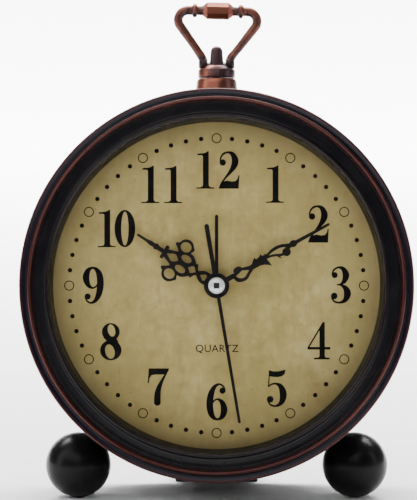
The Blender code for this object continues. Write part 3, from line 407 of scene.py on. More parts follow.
def piece(name, bm, finish, body, nodes=(), at=Matrix.Identity(4)):
    """Visible piece that rides on a body and stands for CAD nodes."""
    mesh = mesh_of(bm, name)
    mesh.shade_smooth()
    mesh.set_sharp_from_angle(angle=radians(SHARP_ANGLE))
    obj = placed(name, mesh, CLOCK @ at)
    mesh.materials.append(finish)
    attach(obj, body)
    if nodes:
        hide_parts(*nodes)
    return obj


def bevelled(obj, width, segments=2, angle=35):
    """Rounds the piece's sharp edges by a width in millimetres."""
    bevel = obj.modifiers.new("edges", "BEVEL")
    bevel.width = width
    bevel.segments = segments
    bevel.limit_method = "ANGLE"
    bevel.angle_limit = radians(angle)
    bevel.harden_normals = False
    return obj


def cut(obj, bm, operation="DIFFERENCE"):
    """Applies a Boolean with a solid drawn in the piece's own frame."""
    tool = placed("tool", mesh_of(bm, "tool"), obj.matrix_world)
    step = obj.modifiers.new("cut", "BOOLEAN")
    step.operation = operation
    step.solver = "EXACT"
    step.object = tool
    bpy.context.view_layer.update()
    done = bpy.data.meshes.new_from_object(obj.evaluated_get(bpy.context.evaluated_depsgraph_get()))
    obj.modifiers.remove(step)
    finish = obj.data.materials[0]
    obj.data = done
    done.name = obj.name
    done.materials.clear()
    done.materials.append(finish)
    for face in done.polygons:
        face.material_index = 0
    done.shade_smooth()
    done.set_sharp_from_angle(angle=radians(SHARP_ANGLE))
    bpy.data.objects.remove(tool)


# ---------------------------------------------------------------- materials

class Nodes:
    """Node tree of one material, with short calls for what the finishes use."""

    def __init__(self, name, unit=1.0):
        self.material = bpy.data.materials.new(name)
        self.material.use_nodes = True
        self.tree = self.material.node_tree
        self.shader = self.tree.nodes["Principled BSDF"]
        self.texture = self.tree.nodes.new("ShaderNodeTexCoord")
        self.place = self.vector("SCALE", self.texture.outputs["Object"], scale=unit)

    def link(self, socket, value):
        """Sets an input from a socket or a plain value."""
        if isinstance(value, bpy.types.NodeSocket):
            self.tree.links.new(value, socket)
        elif isinstance(value, tuple) and len(value) == 3 and socket.type == "RGBA":
            socket.default_value = (*value, 1.0)
        else:
            socket.default_value = value

    def vector(self, operation, a, b=None, scale=None):
        """Result of a vector operation: a number for a length or a dot product."""
        n = self.tree.nodes.new("ShaderNodeVectorMath")
        n.operation = operation
        self.link(n.inputs[0], a)
        if b is not None:
            self.link(n.inputs[1], b)
        if scale is not None:
            self.link(n.inputs["Scale"], scale)
        return n.outputs["Value"] if operation in ("LENGTH", "DOT_PRODUCT") else n.outputs[0]

    def math(self, operation, a, b=0.0, clamp=False):
        """Result of an operation on one or two numbers."""
        n = self.tree.nodes.new("ShaderNodeMath")
        n.operation = operation
        n.use_clamp = clamp
        self.link(n.inputs[0], a)
        self.link(n.inputs[1], b)
        return n.outputs[0]

    def plus(self, a, b, clamp=False):
        return self.math("ADD", a, b, clamp)

    def minus(self, a, b):
        return self.math("SUBTRACT", a, b)

    def times(self, a, b, clamp=False):
        return self.math("MULTIPLY", a, b, clamp)

    def over(self, a, b):
        return self.math("DIVIDE", a, b)

    def noise(self, scale, detail=4.0, rough=0.55, place=None, stretch=None, warp=0.0):
        """Noise of that many lumps to a millimetre."""
        place = self.place if place is None else place
        if stretch:
            place = self.vector("MULTIPLY", place, stretch)
        n = self.tree.nodes.new("ShaderNodeTexNoise")
        self.link(n.inputs["Vector"], place)
        n.inputs["Scale"].default_value = scale
        n.inputs["Detail"].default_value = detail
        n.inputs["Roughness"].default_value = rough
        n.inputs["Distortion"].default_value = warp
        return n.outputs[0]

    def ramp(self, fac, *stops):
        """Colours, or shares from 0 to 1, along a value."""
        n = self.tree.nodes.new("ShaderNodeValToRGB")
        self.link(n.inputs["Fac"], fac)
        line = n.color_ramp.elements
        while len(line) < len(stops):
            line.new(0.5)
        for mark, (position, colour) in zip(line, stops):
            mark.position = position
            mark.color = (*colour, 1.0) if isinstance(colour, tuple) else (colour, colour, colour, 1.0)
        return n.outputs["Color"]

    def mix(self, fac, a, b):
        """Colour between a and b."""
        n = self.tree.nodes.new("ShaderNodeMix")
        n.data_type = "RGBA"
        self.link(n.inputs[0], fac)
        self.link(n.inputs[6], a)
        self.link(n.inputs[7], b)
        return n.outputs[2]

    def xyz(self, vector):
        """The three parts of a vector."""
        n = self.tree.nodes.new("ShaderNodeSeparateXYZ")
        self.link(n.inputs[0], vector)
        return n.outputs

    def radius(self):
        """Distance from the piece's Y axis, in millimetres."""
        return self.vector("LENGTH", self.vector("MULTIPLY", self.place, (1.0, 0.0, 1.0)))

    def edges(self, low=0.5, high=0.62):
        """Share of wear: 1 on sharp edges, 0 on flats."""
        geometry = self.tree.nodes.new("ShaderNodeNewGeometry")
        return self.ramp(geometry.outputs["Pointiness"], (low, 0.0), (high, 1.0))

    def bump(self, height, distance):
        """Bump of that depth in millimetres."""
        n = self.tree.nodes.new("ShaderNodeBump")
        n.inputs["Strength"].default_value = 1.0
        n.inputs["Distance"].default_value = distance * MM
        self.link(n.inputs["Height"], height)
        return n.outputs[0]

    def set(self, **values):
        """Sets the shader's inputs by name and returns the material."""
        for name, value in values.items():
            self.link(self.shader.inputs[name.replace("_", " ")], value)
        return self.material


def bronze_paint():
    """Near-black lacquered bronze, rubbed to copper on the raised bead and on the rim."""
    m = Nodes("oil_rubbed_bronze")
    r = m.radius()
    patchy = m.noise(0.10, 3.0, 0.5, warp=0.5)
    fine = m.noise(1.1, 3.0, 0.55)
    shift = m.times(m.minus(fine, 0.5), 0.16)
    face_inner, face_width, front, face_depth = 53.0, 11.0, -12.0, 10.0
    worn_r = m.over(m.minus(m.plus(r, shift), face_inner), face_width)
    band = m.ramp(worn_r, (0.0, 0.0), (0.155, 0.10), (0.20, 0.0), (0.50, 0.0), (0.56, 0.06), (0.615, 0.70),
                  (0.685, 0.95), (0.73, 0.12), (0.77, 0.0), (0.855, 0.02), (0.905, 0.75), (0.955, 0.95))
    worn = m.times(band, m.ramp(patchy, (0.30, 0.65), (0.62, 1.0)), clamp=True)
    depth = m.over(m.plus(m.plus(m.xyz(m.place)[1], -front), shift), face_depth)
    worn = m.times(worn, m.ramp(depth, (0.27, 1.0), (0.36, 0.12), (0.84, 0.06), (0.90, 0.9)))
    navy = m.ramp(worn_r, (0.72, 0.0), (0.78, 1.0))
    dark = m.ramp(patchy, (0.3, (0.0040, 0.0040, 0.0056)), (0.7, (0.0068, 0.0058, 0.0070)))
    dark = m.mix(navy, dark, (0.0052, 0.0048, 0.0118))
    copper = m.ramp(fine, (0.3, (0.056, 0.017, 0.0150)), (0.7, (0.100, 0.031, 0.026)))
    colour = m.mix(worn, dark, copper)
    rough = m.ramp(patchy, (0.25, 0.20), (0.75, 0.26))
    metal = m.times(worn, 0.75)
    return m.set(Base_Color=colour, Roughness=rough, Metallic=metal, Specular_IOR_Level=0.22,
                 Normal=m.bump(m.noise(0.9, 2.0), 0.004))


def drum_paint():
    """The same dark lacquer on the drum, with a little copper showing at its ends."""
    m = Nodes("drum_lacquer")
    patchy = m.noise(0.09, 5.0, 0.6, warp=0.7)
    fine = m.noise(1.3, 4.0, 0.6)
    y = m.xyz(m.place)[1]
    ragged = m.times(fine, 1.2)
    end = m.ramp(m.over(m.plus(y, ragged), DRUM_REAR + 2.0), (0.93, 0.0), (0.985, 0.8))
    dark = m.ramp(patchy, (0.3, (0.0050, 0.0048, 0.0066)), (0.6, (0.0080, 0.0066, 0.0082)),
                  (0.8, (0.0150, 0.0092, 0.0092)))
    colour = m.mix(end, dark, m.ramp(fine, (0.3, (0.05, 0.016, 0.014)), (0.7, (0.12, 0.042, 0.032))))
    return m.set(Base_Color=colour, Roughness=m.ramp(fine, (0.25, 0.24), (0.75, 0.36)),
                 Metallic=m.times(end, 0.7), Coat_Weight=0.2, Coat_Roughness=0.16,
                 Normal=m.bump(m.noise(0.5, 2.0), 0.012))


def antique_copper(name, bright, dark, zones, worn_edge):
    """Copper with a purple-brown patina, rubbed bright on raised faces, and with painted light that makes
    faces turned up brighter.

    zones(m) adds to the rubbing and to the painted light and shade place by place, and edges are bright from
    a pointiness of worn_edge.
    """
    m = Nodes(name)
    fine = m.noise(1.6, 5.0, 0.62, warp=0.4)
    broad = m.noise(0.34, 3.0, 0.55, warp=0.5)
    # Painted light: faces turned up are made brighter and faces turned down darker, as if lit from above;
    # rubbed holds this painted light along with the wear.
    upper = m.xyz(m.texture.outputs["Normal"])[2]
    rubbed = m.plus(m.times(upper, 0.30), m.times(broad, 0.9))
    zone = zones(m)
    rubbed = m.plus(rubbed, zone)
    rubbed = m.plus(rubbed, m.times(m.minus(fine, 0.5), 0.35))
    share = m.ramp(rubbed, (0.18, 0.0), (0.62, 0.85), (0.9, 1.0))
    edge = m.plus(m.edges(worn_edge, worn_edge + 0.1), m.math("MINIMUM", zone, 0.0), clamp=True)
    share = m.math("MAXIMUM", share, edge)
    hue = m.ramp(broad, (0.35, (bright[0], bright[1] * 1.12, bright[2] * 0.86)), (0.65, bright))
    brushed = m.noise(2.2, 2.0, 0.5, stretch=(0.5, 0.5, 6.0))
    return m.set(Base_Color=m.mix(share, dark, hue), Metallic=m.ramp(share, (0.0, 0.55), (1.0, 1.0)),
                 Roughness=m.ramp(fine, (0.25, 0.27), (0.75, 0.42)),
                 Normal=m.bump(m.plus(m.times(fine, 0.6), brushed), 0.012))


def bail_zones(m):
    """Raised parts of the bail are rubbed, the necks beside them stay dark, and painted shade darkens the
    bail near its bottom.
    """
    x, y, z = m.xyz(m.place)[:3]
    from_axis = m.math("SQRT", m.plus(m.math("POWER", y, 2.0),
                                      m.math("POWER", m.minus(z, BAIL_TOP), 2.0)))
    raised = m.ramp(m.over(from_axis, 4.0), (0.38, 0.0), (0.50, 1.0))
    top = m.ramp(m.over(z, 20.0), (0.70, 0.0), (0.76, 1.0))
    inner = m.ramp(m.over(m.math("ABSOLUTE", x), 12.0), (0.72, 1.0), (0.86, 0.0))
    neck = m.times(m.times(top, inner), m.minus(1.0, raised))
    # Painted shade: the bail is made darker towards its bottom, by the eyes.
    low = m.ramp(m.over(z, 20.0), (0.03, 1.0), (0.16, 0.0))
    return m.plus(m.times(neck, -0.75), m.times(low, -0.55))


def crown_zones(m):
    """The collars are rubbed bright and the post and the seam stay dark, with painted light that makes the
    left side brighter and the right side darker.
    """
    x, _, z = m.xyz(m.place)[:3]
    collar = m.ramp(m.over(m.minus(z, 60.0), 20.0), (0.30, 0.62), (0.40, 0.58), (0.415, 0.1),
                    (0.435, 0.1), (0.45, 0.20), (0.55, 0.10), (0.60, 0.04), (0.64, 0.0))
    # Painted light: the crown is made brighter to the left and darker to the right, as if lit from the left.
    return m.minus(m.minus(collar, 0.42), m.times(x, 0.07))


def gloss_black():
    """Black enamel with orange peel and a faint dust of lighter specks."""
    m = Nodes("gloss_black_enamel")
    peel = m.noise(0.45, 2.0)
    fine = m.noise(2.4, 4.0, 0.7)
    colour = m.ramp(m.noise(0.12, 4.0), (0.3, (0.0036, 0.0035, 0.0044)), (0.7, (0.0062, 0.0058, 0.0070)))
    return m.set(Base_Color=colour, Roughness=m.ramp(fine, (0.3, 0.27), (0.7, 0.30)),
                 Specular_IOR_Level=0.13, Normal=m.bump(peel, 0.015))


def parchment():
    """Aged paper print: mottled tan, faint upright fibres, brown flecks, and painted shade from the bezel
    that darkens and browns the rim.
    """
    m = Nodes("aged_parchment")
    r = m.radius()
    broad = m.noise(0.045, 4.0, 0.6, warp=0.8)
    mottle = m.noise(0.22, 5.0, 0.62, warp=0.5)
    upright = m.noise(0.22, 4.0, 0.6, stretch=(1.7, 1.0, 0.45), warp=0.9)
    level = m.noise(0.30, 4.0, 0.6, stretch=(0.45, 1.0, 1.8), warp=0.9)
    tone = m.plus(m.times(broad, 0.42), m.times(mottle, 0.32))
    tone = m.plus(tone, m.plus(m.times(upright, 0.20), m.times(level, 0.06)))
    colour = m.ramp(tone, (0.36, (0.300, 0.212, 0.070)), (0.46, (0.375, 0.280, 0.098)),
                    (0.54, (0.440, 0.338, 0.128)), (0.64, (0.520, 0.420, 0.190)))
    olive = m.noise(0.07, 3.0, place=m.vector("ADD", m.place, (31.0, 7.0, 13.0)))
    colour = m.mix(m.ramp(olive, (0.48, 0.0), (0.70, 0.45)), colour, (0.350, 0.282, 0.078))
    streak = m.noise(0.55, 3.0, 0.7, stretch=(3.2, 1.0, 0.22))
    colour = m.mix(m.ramp(streak, (0.60, 0.0), (0.76, 0.55)), colour, (0.25, 0.135, 0.040))
    flecks = m.noise(1.3, 2.0, 0.6, stretch=(1.5, 1.0, 0.7))
    rare = m.noise(0.11, 2.0, place=m.vector("ADD", m.place, (5.0, 3.0, 40.0)))
    fleck = m.times(m.ramp(flecks, (0.62, 0.0), (0.70, 1.0)), m.ramp(rare, (0.47, 0.0), (0.60, 0.7)))
    colour = m.mix(fleck, colour, (0.17, 0.078, 0.022))
    cloud = m.noise(0.13, 4.0, 0.65, place=m.vector("ADD", m.place, (71.0, 9.0, 3.0)), warp=1.0)
    colour = m.mix(m.ramp(cloud, (0.54, 0.0), (0.70, 0.38)), colour, (0.300, 0.185, 0.056))
    # Painted shade: the dial darkens and browns towards its rim, as if in the bezel's shadow.
    ragged = m.plus(m.over(r, DIAL_SEEN_R), m.times(m.minus(mottle, 0.5), 0.16))
    rim = m.ramp(ragged, (0.58, 0.0), (0.88, 0.26), (0.98, 0.66))
    colour = m.mix(rim, colour, (0.205, 0.150, 0.066))
    fibre = m.noise(2.4, 4.0, 0.6, stretch=(1.0, 1.0, 0.4))
    return m.set(Base_Color=colour, Roughness=m.ramp(mottle, (0.3, 0.62), (0.7, 0.80)),
                 Specular_IOR_Level=0.3, Normal=m.bump(fibre, 0.01))


def generic(name, low, high, unit=1.0, rough=(0.4, 0.55), metallic=0.0, grain=1.0, depth=0.02, worn=None,
            worn_share=0.5, stretch=None, **extra):
    """Finish with colour variation between two tones, edge wear, and roughness and bump from noise."""
    m = Nodes(name, unit)
    broad = m.noise(0.22 * grain, 4.0, 0.6, warp=0.4)
    fine = m.noise(2.2 * grain, 4.0, 0.65, stretch=stretch)
    tone = m.plus(m.times(broad, 0.65), m.times(fine, 0.35))
    colour = m.ramp(tone, (0.36, low), (0.64, high))
    if worn:
        colour = m.mix(m.times(m.edges(), worn_share), colour, worn)
    return m.set(Base_Color=colour, Roughness=m.ramp(fine, (0.25, rough[0]), (0.75, rough[1])),
                 Metallic=metallic, Normal=m.bump(fine, depth), **extra)


def clear_glass():
    """Thin clear glass: it mirrors by angle and lets the rest through."""
    m = Nodes("clear_glass")
    tree = m.tree
    clear = tree.nodes.new("ShaderNodeBsdfTransparent")
    clear.inputs["Color"].default_value = (0.985, 0.992, 0.988, 1.0)
    gloss = tree.nodes.new("ShaderNodeBsdfGlossy")
    smear = m.noise(0.05, 3.0, 0.6, warp=0.8)
    m.link(gloss.inputs["Roughness"], m.ramp(smear, (0.3, 0.015), (0.8, 0.05)))
    angle = tree.nodes.new("ShaderNodeLayerWeight")
    mirror = m.times(m.math("POWER", angle.outputs["Facing"], 5.0), 0.7)
    both = tree.nodes.new("ShaderNodeMixShader")
    m.link(both.inputs[0], m.plus(mirror, 0.006))
    m.link(both.inputs[1], clear.outputs[0])
    m.link(both.inputs[2], gloss.outputs[0])
    m.link(tree.nodes["Material Output"].inputs["Surface"], both.outputs[0])
    tree.nodes.remove(m.shader)
    return m.material


def make_finishes():
    """All finishes, by name."""
    cad = 1.0 / MM
    steel_low, steel_high = (0.42, 0.42, 0.43), (0.62, 0.62, 0.64)
    moulded = {"rough": (0.46, 0.60), "grain": 1.6, "depth": 0.035, "worn": (0.035, 0.035, 0.037),
               "Specular_IOR_Level": 0.25}
    acetal = {"rough": (0.34, 0.48), "depth": 0.012, "worn": (0.86, 0.85, 0.82), "Subsurface_Weight": 0.05}
    metal = {"rough": (0.24, 0.40), "metallic": 1.0, "depth": 0.008, "worn": (0.80, 0.80, 0.81)}
    return {
        "bronze": bronze_paint(),
        "drum": drum_paint(),
        "bail": antique_copper("bail_copper", (0.245, 0.082, 0.062), (0.030, 0.016, 0.020), bail_zones,
                               0.66),
        "crown": antique_copper("crown_copper", (0.330, 0.106, 0.080), (0.058, 0.028, 0.034),
                                crown_zones, 0.56),
        "gloss": gloss_black(),
        "dial": parchment(),
        "glass": clear_glass(),
        "spacer": generic("spacer_black", (0.004, 0.0036, 0.0042), (0.008, 0.007, 0.008), rough=(0.34, 0.46),
                          Specular_IOR_Level=0.3),
        "ink": generic("print_ink", (0.0040, 0.0034, 0.0038), (0.0070, 0.0058, 0.0062), rough=(0.55, 0.66),
                       depth=0.004, Specular_IOR_Level=0.06),
        "brown_ink": generic("track_ink", (0.007, 0.0042, 0.0040), (0.012, 0.007, 0.006), rough=(0.55, 0.66),
                             depth=0.004, Specular_IOR_Level=0.06),
        "hands": generic("hand_lacquer", (0.0042, 0.0034, 0.0038), (0.0075, 0.0055, 0.0060),
                         rough=(0.38, 0.50), depth=0.008, worn=(0.018, 0.012, 0.012),
                         Specular_IOR_Level=0.15),
        "chrome": generic("satin_chrome", (0.78, 0.79, 0.81), (0.88, 0.89, 0.90), rough=(0.20, 0.30),
                          metallic=0.35, depth=0.003),
        "socket": generic("socket_black", (0.004, 0.004, 0.005), (0.009, 0.009, 0.010), rough=(0.4, 0.5)),
        "moulded": generic("black_moulded", (0.0065, 0.0065, 0.0072), (0.011, 0.011, 0.012), **moulded),
        "moulded_cad": generic("black_moulded_inner", (0.0065, 0.0065, 0.0072), (0.011, 0.011, 0.012),
                               unit=cad, **moulded),
        "legend": generic("legend_white", (0.62, 0.62, 0.60), (0.75, 0.75, 0.73), rough=(0.5, 0.6),
                          depth=0.004),
        "grey": generic("switch_grey", (0.46, 0.45, 0.42), (0.58, 0.57, 0.54), rough=(0.38, 0.5), grain=1.5,
                        worn=(0.7, 0.69, 0.66)),
        "white_cad": generic("white_acetal", (0.68, 0.67, 0.63), (0.79, 0.78, 0.75), unit=cad, **acetal),
        "natural_cad": generic("natural_acetal", (0.58, 0.54, 0.43), (0.70, 0.66, 0.54), unit=cad, **acetal),
        "steel": generic("zinc_steel", steel_low, steel_high, **metal),
        "steel_cad": generic("zinc_steel_inner", steel_low, steel_high, unit=cad, **metal),
        "brass_cad": generic("stamped_brass", (0.50, 0.36, 0.13), (0.68, 0.52, 0.24), unit=cad,
                             rough=(0.22, 0.38), metallic=1.0, depth=0.008, worn=(0.85, 0.7, 0.4)),
        "winding_cad": generic("enamelled_wire", (0.30, 0.10, 0.035), (0.52, 0.21, 0.09), unit=cad,
                               rough=(0.25, 0.38), metallic=0.9, grain=2.0, depth=0.05,
                               stretch=(6.0, 0.4, 0.4)),
        "circuit_cad": generic("solder_resist", (0.012, 0.11, 0.045), (0.03, 0.19, 0.08), unit=cad,
                               rough=(0.28, 0.4), depth=0.01),
        "chrome_cad": generic("crystal_can", (0.62, 0.63, 0.65), (0.78, 0.79, 0.81), unit=cad,
                              rough=(0.12, 0.22), metallic=1.0, depth=0.006),
        "cell_cad": generic("cell_sleeve", (0.05, 0.055, 0.07), (0.09, 0.10, 0.12), unit=cad,
                            rough=(0.22, 0.32), metallic=0.4, depth=0.006, worn=(0.4, 0.4, 0.42)),
        "red_cad": generic("red_sleeve", (0.36, 0.012, 0.010), (0.52, 0.025, 0.018), unit=cad),
        "black_cad": generic("black_sleeve", (0.010, 0.010, 0.011), (0.022, 0.022, 0.023), unit=cad),
        "magnet_cad": generic("bonded_ferrite", (0.035, 0.035, 0.04), (0.075, 0.075, 0.08), unit=cad,
                              rough=(0.5, 0.7), metallic=0.3, depth=0.03),
    }


FINISH = make_finishes()
CARRIED = {
    "white_cad": ["movement_front_plate", "movement_middle_plate", "movement_rear_plate", "seconds_wheel",
                  "alarm_wheel", "time_set_shaft", "alarm_set_shaft"],
    "natural_cad": ["dial_carrier", "intermediate_wheel", "third_wheel", "minute_works_wheel", "hour_wheel",
                    "alarm_idler_wheel"],
    "magnet_cad": ["rotor"],
    "steel_cad": ["crown_screw", "foot_screw_left", "foot_screw_right", "movement_screw_1",
                  "movement_screw_2", "stator_plate", "coil_core", "battery_contact_positive",
                  "battery_contact_negative"],
    "brass_cad": ["minute_pipe", "centre_wheel", "alarm_contact_spring", "alarm_switch_contact",
                  "piezo_sounder"],
    "winding_cad": ["drive_coil"],
    "circuit_cad": ["circuit_board"],
    "chrome_cad": ["quartz_crystal"],
    "cell_cad": ["battery_cell"],
    "red_cad": ["battery_lead_red"],
    "black_cad": ["battery_lead_black"],
}


def dress_carried():
    """Finishes of the CAD nodes that are shown as they are."""
    for finish, names in CARRIED.items():
        for name in names:
            mesh = frame["nodes"][name].data
            mesh.materials.clear()
            mesh.materials.append(FINISH[finish])


# ---------------------------------------------------------------- case

def make_case():
    """Bezel, lens, spacer ring, dial plate and drum."""
    face = [(54.1, -8.9), (54.1, -9.8), (54.3, -10.2), (54.8, -10.38), (55.3, -10.25), (55.62, -9.85),
            (55.9, -9.7), (56.7, -9.66), (57.6, -9.64), (58.4, -9.68), (58.75, -9.66), (59.05, -9.5),
            (59.3, -9.5),
            (59.5, -10.0), (59.75, -10.7), (60.3, -11.14), (60.85, -10.7), (61.1, -10.0), (61.35, -9.72),
            (61.8, -9.72), (62.4, -9.92), (62.85, -10.1), (63.25, -9.98), (63.48, -9.5)]
    seat, pocket = DRUM_R + GAP, GLASS_R + GAP
    rear = [(BEZEL_R, -9.0), (BEZEL_R, -3.2), (63.2, -2.8), (seat, -2.8), (seat, DRUM_FRONT - GAP),
            (pocket, DRUM_FRONT - GAP), (pocket, -8.9)]
    piece("bezel", turned(smooth_line(face, 4) + rear), FINISH["bronze"], "case", ["front_bezel"])

    lens = [(0, -8.6), (GLASS_R - 0.4, -8.6), (GLASS_R, -8.2), (GLASS_R, -6.8), (0, -6.8)]
    piece("lens", turned(lens, ROUND), FINISH["glass"], "case", ["glass_lens"])

    ring = [(53.9, -6.5), (GLASS_R, -6.5), (GLASS_R, -GAP), (52.95, -GAP), (53.1, -0.9), (53.6, -3.6)]
    piece("spacer_ring", turned(softened(ring, 0.25)), FINISH["spacer"], "case", ["dial_ring"])

    dial = [(3.3, 0), (DIAL_R, 0), (DIAL_R, 0.6), (3.3, 0.6)]
    piece("dial_face", turned(softened(dial, 0.1)), FINISH["dial"], "case", ["dial_plate"])

    inner = DRUM_R - 1.2
    drum = [(DRUM_R, DRUM_FRONT), (DRUM_R, 42.2), (62.5, 42.8), (62.55, 43.5), (62.3, DRUM_REAR),
            (61.7, 44.15), (inner, DRUM_REAR - 0.1), (inner, DRUM_FRONT)]
    shell = piece("drum", turned(softened(drum, 0.25)), FINISH["drum"], "case", ["case_drum"])
    foot_angle = degrees(atan2(FOOT_X, -FOOT_DROP))
    for angle, y in ((0, CROWN_Y), (foot_angle, FOOT_Y), (-foot_angle, FOOT_Y)):
        drill = turned([(0, 55), (SCREW_HOLE_R, 55), (SCREW_HOLE_R, 68), (0, 68)], 24)
        place = moved(0, y, 0) @ spun(angle, "Y") @ Y_TO_Z
        cut(shell, along(drill, place))


def make_feet():
    """Ball feet and their washers."""
    reach = hypot(FOOT_X, FOOT_DROP)
    seat = reach - FOOT_SEAT_R
    for side, sign in (("left", -1), ("right", 1)):
        angle = sign * atan2(FOOT_X, -FOOT_DROP)
        radial = moved(0, FOOT_Y, 0) @ Matrix.Rotation(angle, 4, "Y") @ Y_TO_Z
        start = degrees(atan2(-seat, sqrt(FOOT_R ** 2 - seat ** 2)))
        ball = [(0, -2.4), (SCREW_HOLE_R, -2.4), (SCREW_HOLE_R, -seat)]
        ball += arc(0, 0, FOOT_R, start, 90, 44)[:-1] + [(0, FOOT_R)]
        place = Matrix.Rotation(angle, 4, "Y") @ Y_TO_Z @ moved(0, reach, 0)
        piece(f"ball_{side}", along(turned(ball, 96), place), FINISH["gloss"], "case",
              [f"foot_ball_{side}"], moved(0, FOOT_Y, 0))
        ring = [(SCREW_HOLE_R, 62.0), (4.3, 62.0), (4.3, 63.9), (SCREW_HOLE_R, 63.9)]
        washer = piece(f"washer_{side}", turned(softened(ring, 0.25), SMALL_ROUND), FINISH["steel"], "case",
                       [f"foot_washer_{side}"], radial)
        saddle = turned([(0, -12), (DRUM_R + GAP, -12), (DRUM_R + GAP, 12), (0, 12)], 256)
        cut(washer, along(saddle, Y_TO_Z.inverted()))


# ---------------------------------------------------------------- crown and bail

def make_crown():
    """Lower collar, domed upper collar with its post, and the pin through them.

    The upper collar has a pocket for each eye of the bail, and a relief where its swung arm lies.
    """
    frame_at = moved(0, CROWN_Y, 0)
    base = [(SCREW_HOLE_R, 61.2), (6.95, 61.2), (6.95, 63.2), (6.88, 64.6), (6.62, 67.0), (6.42, 67.75),
            (6.05, 68.2), (SCREW_HOLE_R, 68.2)]
    lower = piece("crown_lower", along(turned(softened(base, 0.3), 96), Y_TO_Z), FINISH["crown"], "case",
                  ["crown_base"], frame_at)
    saddle = turned([(0, -12), (DRUM_R + GAP, -12), (DRUM_R + GAP, 12), (0, 12)], 256)
    cut(lower, saddle)

    cap = [(0, 71.0), (SCREW_HOLE_R, 71.0), (SCREW_HOLE_R, 68.5), (5.9, 68.5), (6.12, 68.7), (6.15, 70.9),
           (6.0, 71.15), (4.5, 72.35), (4.2, 72.5), (2.45, 72.55), (2.3, 72.75), (2.22, 74.4), (2.1, 76.0),
           (2.0, 77.2)]
    cap += [(1.98 * cos(radians(a)), 77.3 + 1.75 * sin(radians(a)))
            for a in (14, 30, 46, 62, 78)] + [(0, 79.05)]
    upper = piece("crown_upper", along(turned(cap, 96), Y_TO_Z), FINISH["crown"], "case",
                  ["crown_cap"], frame_at)
    pocket_r, relief_r, relief_x, relief_z = 2.45, 1.95, 4.75, PIVOT_Z + 0.35
    for sign in (-1, 1):
        pocket = turned([(0, 2.65), (pocket_r, 2.65), (pocket_r, 8.0), (0, 8.0)], SMALL_ROUND)
        cut(upper, along(pocket, moved(z=PIVOT_Z) @ spun(-90 * sign, "Z")))
        relief = turned([(0, -9.0), (relief_r, -9.0), (relief_r, 9.0), (0, 9.0)], SMALL_ROUND)
        cut(upper, along(relief, moved(relief_x * sign, 0, relief_z)))
    pin = [(0, -5.85), (0.55, -5.85), (0.75, -5.65), (0.75, 5.65), (0.55, 5.85), (0, 5.85)]
    piece("hinge_pin", along(turned(pin, 32), Y_TO_X), FINISH["steel"], "case", ["bail_pin"],
          moved(0, CROWN_Y, PIVOT_Z))


def bail_path():
    """Centre line (x, z) of the bail's rod, with its half widths, from the right eye to the top."""
    low_angle = -degrees(atan2(BAIL_ARM_SLOPE, 1))
    bend = arc(BAIL_CORNER_X, BAIL_TOP - BAIL_CORNER_R, BAIL_CORNER_R, low_angle, 90, 18)
    end_x, end_z = bend[0]

    def on_arm(z, width, depth):
        return end_x - (end_z - z) * BAIL_ARM_SLOPE, z, width, depth

    tab = [(EYE_X, -0.3, 1.4, 1.85), (EYE_X, 0.6, 1.42, 1.85), (EYE_X + 0.1, 1.5, 1.42, 1.74),
           on_arm(2.7, 1.40, 1.58), on_arm(3.9, 1.35, 1.46), on_arm(5.4, 1.34, 1.42),
           on_arm(7.5, 1.38, 1.42),
           on_arm(10.0, 1.46, 1.46)]
    return smooth_line(tab, 5) + [(x, z, 1.52, 1.5) for x, z in bend]


def make_bail():
    """Bent rod with two eyes, two turned rings and an eight-sided grip, a little askew on its pin."""
    half = bail_path()
    whole = half + [(-x, z, wide, deep) for x, z, wide, deep in reversed(half)]
    rod = swept([(x, 0, z) for x, z, _, _ in whole], [(wide, deep) for _, _, wide, deep in whole])
    bail = piece("bail", rod, FINISH["bail"], "bail", ["bail_handle"],
                 moved(0, CROWN_Y, PIVOT_Z))
    half = [(2.95, 3.5), (1.75, 4.9), (1.55, 5.3), (1.5, 5.9)]
    outline = [(0, -5.9)] + [(r, -x) for r, x in reversed(half)] + half + [(0, 5.9)]
    barrel = along(turned(outline, 8), Y_TO_X @ spun(22.5, "Y"))
    cut(bail, along(barrel, moved(z=BAIL_TOP)), "UNION")
    for sign in (-1, 1):
        turn = spun(-90 * sign, "Z")
        ring = [(0, 6.62), (1.40, 6.62)] + arc(1.45, 7.6, 0.86, -80, 80, 10) + [(1.40, 8.58), (0, 8.58)]
        cut(bail, along(turned(ring, SMALL_ROUND), moved(z=BAIL_TOP) @ turn), "UNION")
        inner, outer = EYE_X - EYE_THICKNESS / 2, EYE_X + EYE_THICKNESS / 2
        rim = [(EYE_R - 0.3, inner), (EYE_R, inner + 0.3), (EYE_R, outer - 0.9), (EYE_R - 0.75, outer)]
        eye = turned(softened([(0, inner)] + rim + [(0, outer)], 0.35, 4), SMALL_ROUND)
        cut(bail, along(eye, turn), "UNION")
    cut(bail, along(turned([(0, -8.0), (1.0, -8.0), (1.0, 8.0), (0, 8.0)], 32), Y_TO_X))
    for vertex in bail.data.vertices:
        x, y, z = vertex.co
        share = min(max((z - 2.0) / 3.0, 0.0), 1.0)
        turn = BAIL_TILT * share
        vertex.co = (x * cos(turn) + z * sin(turn), y, z * cos(turn) - x * sin(turn))
    bevelled(bail, 0.12, 2, 30)


# ---------------------------------------------------------------- dial print

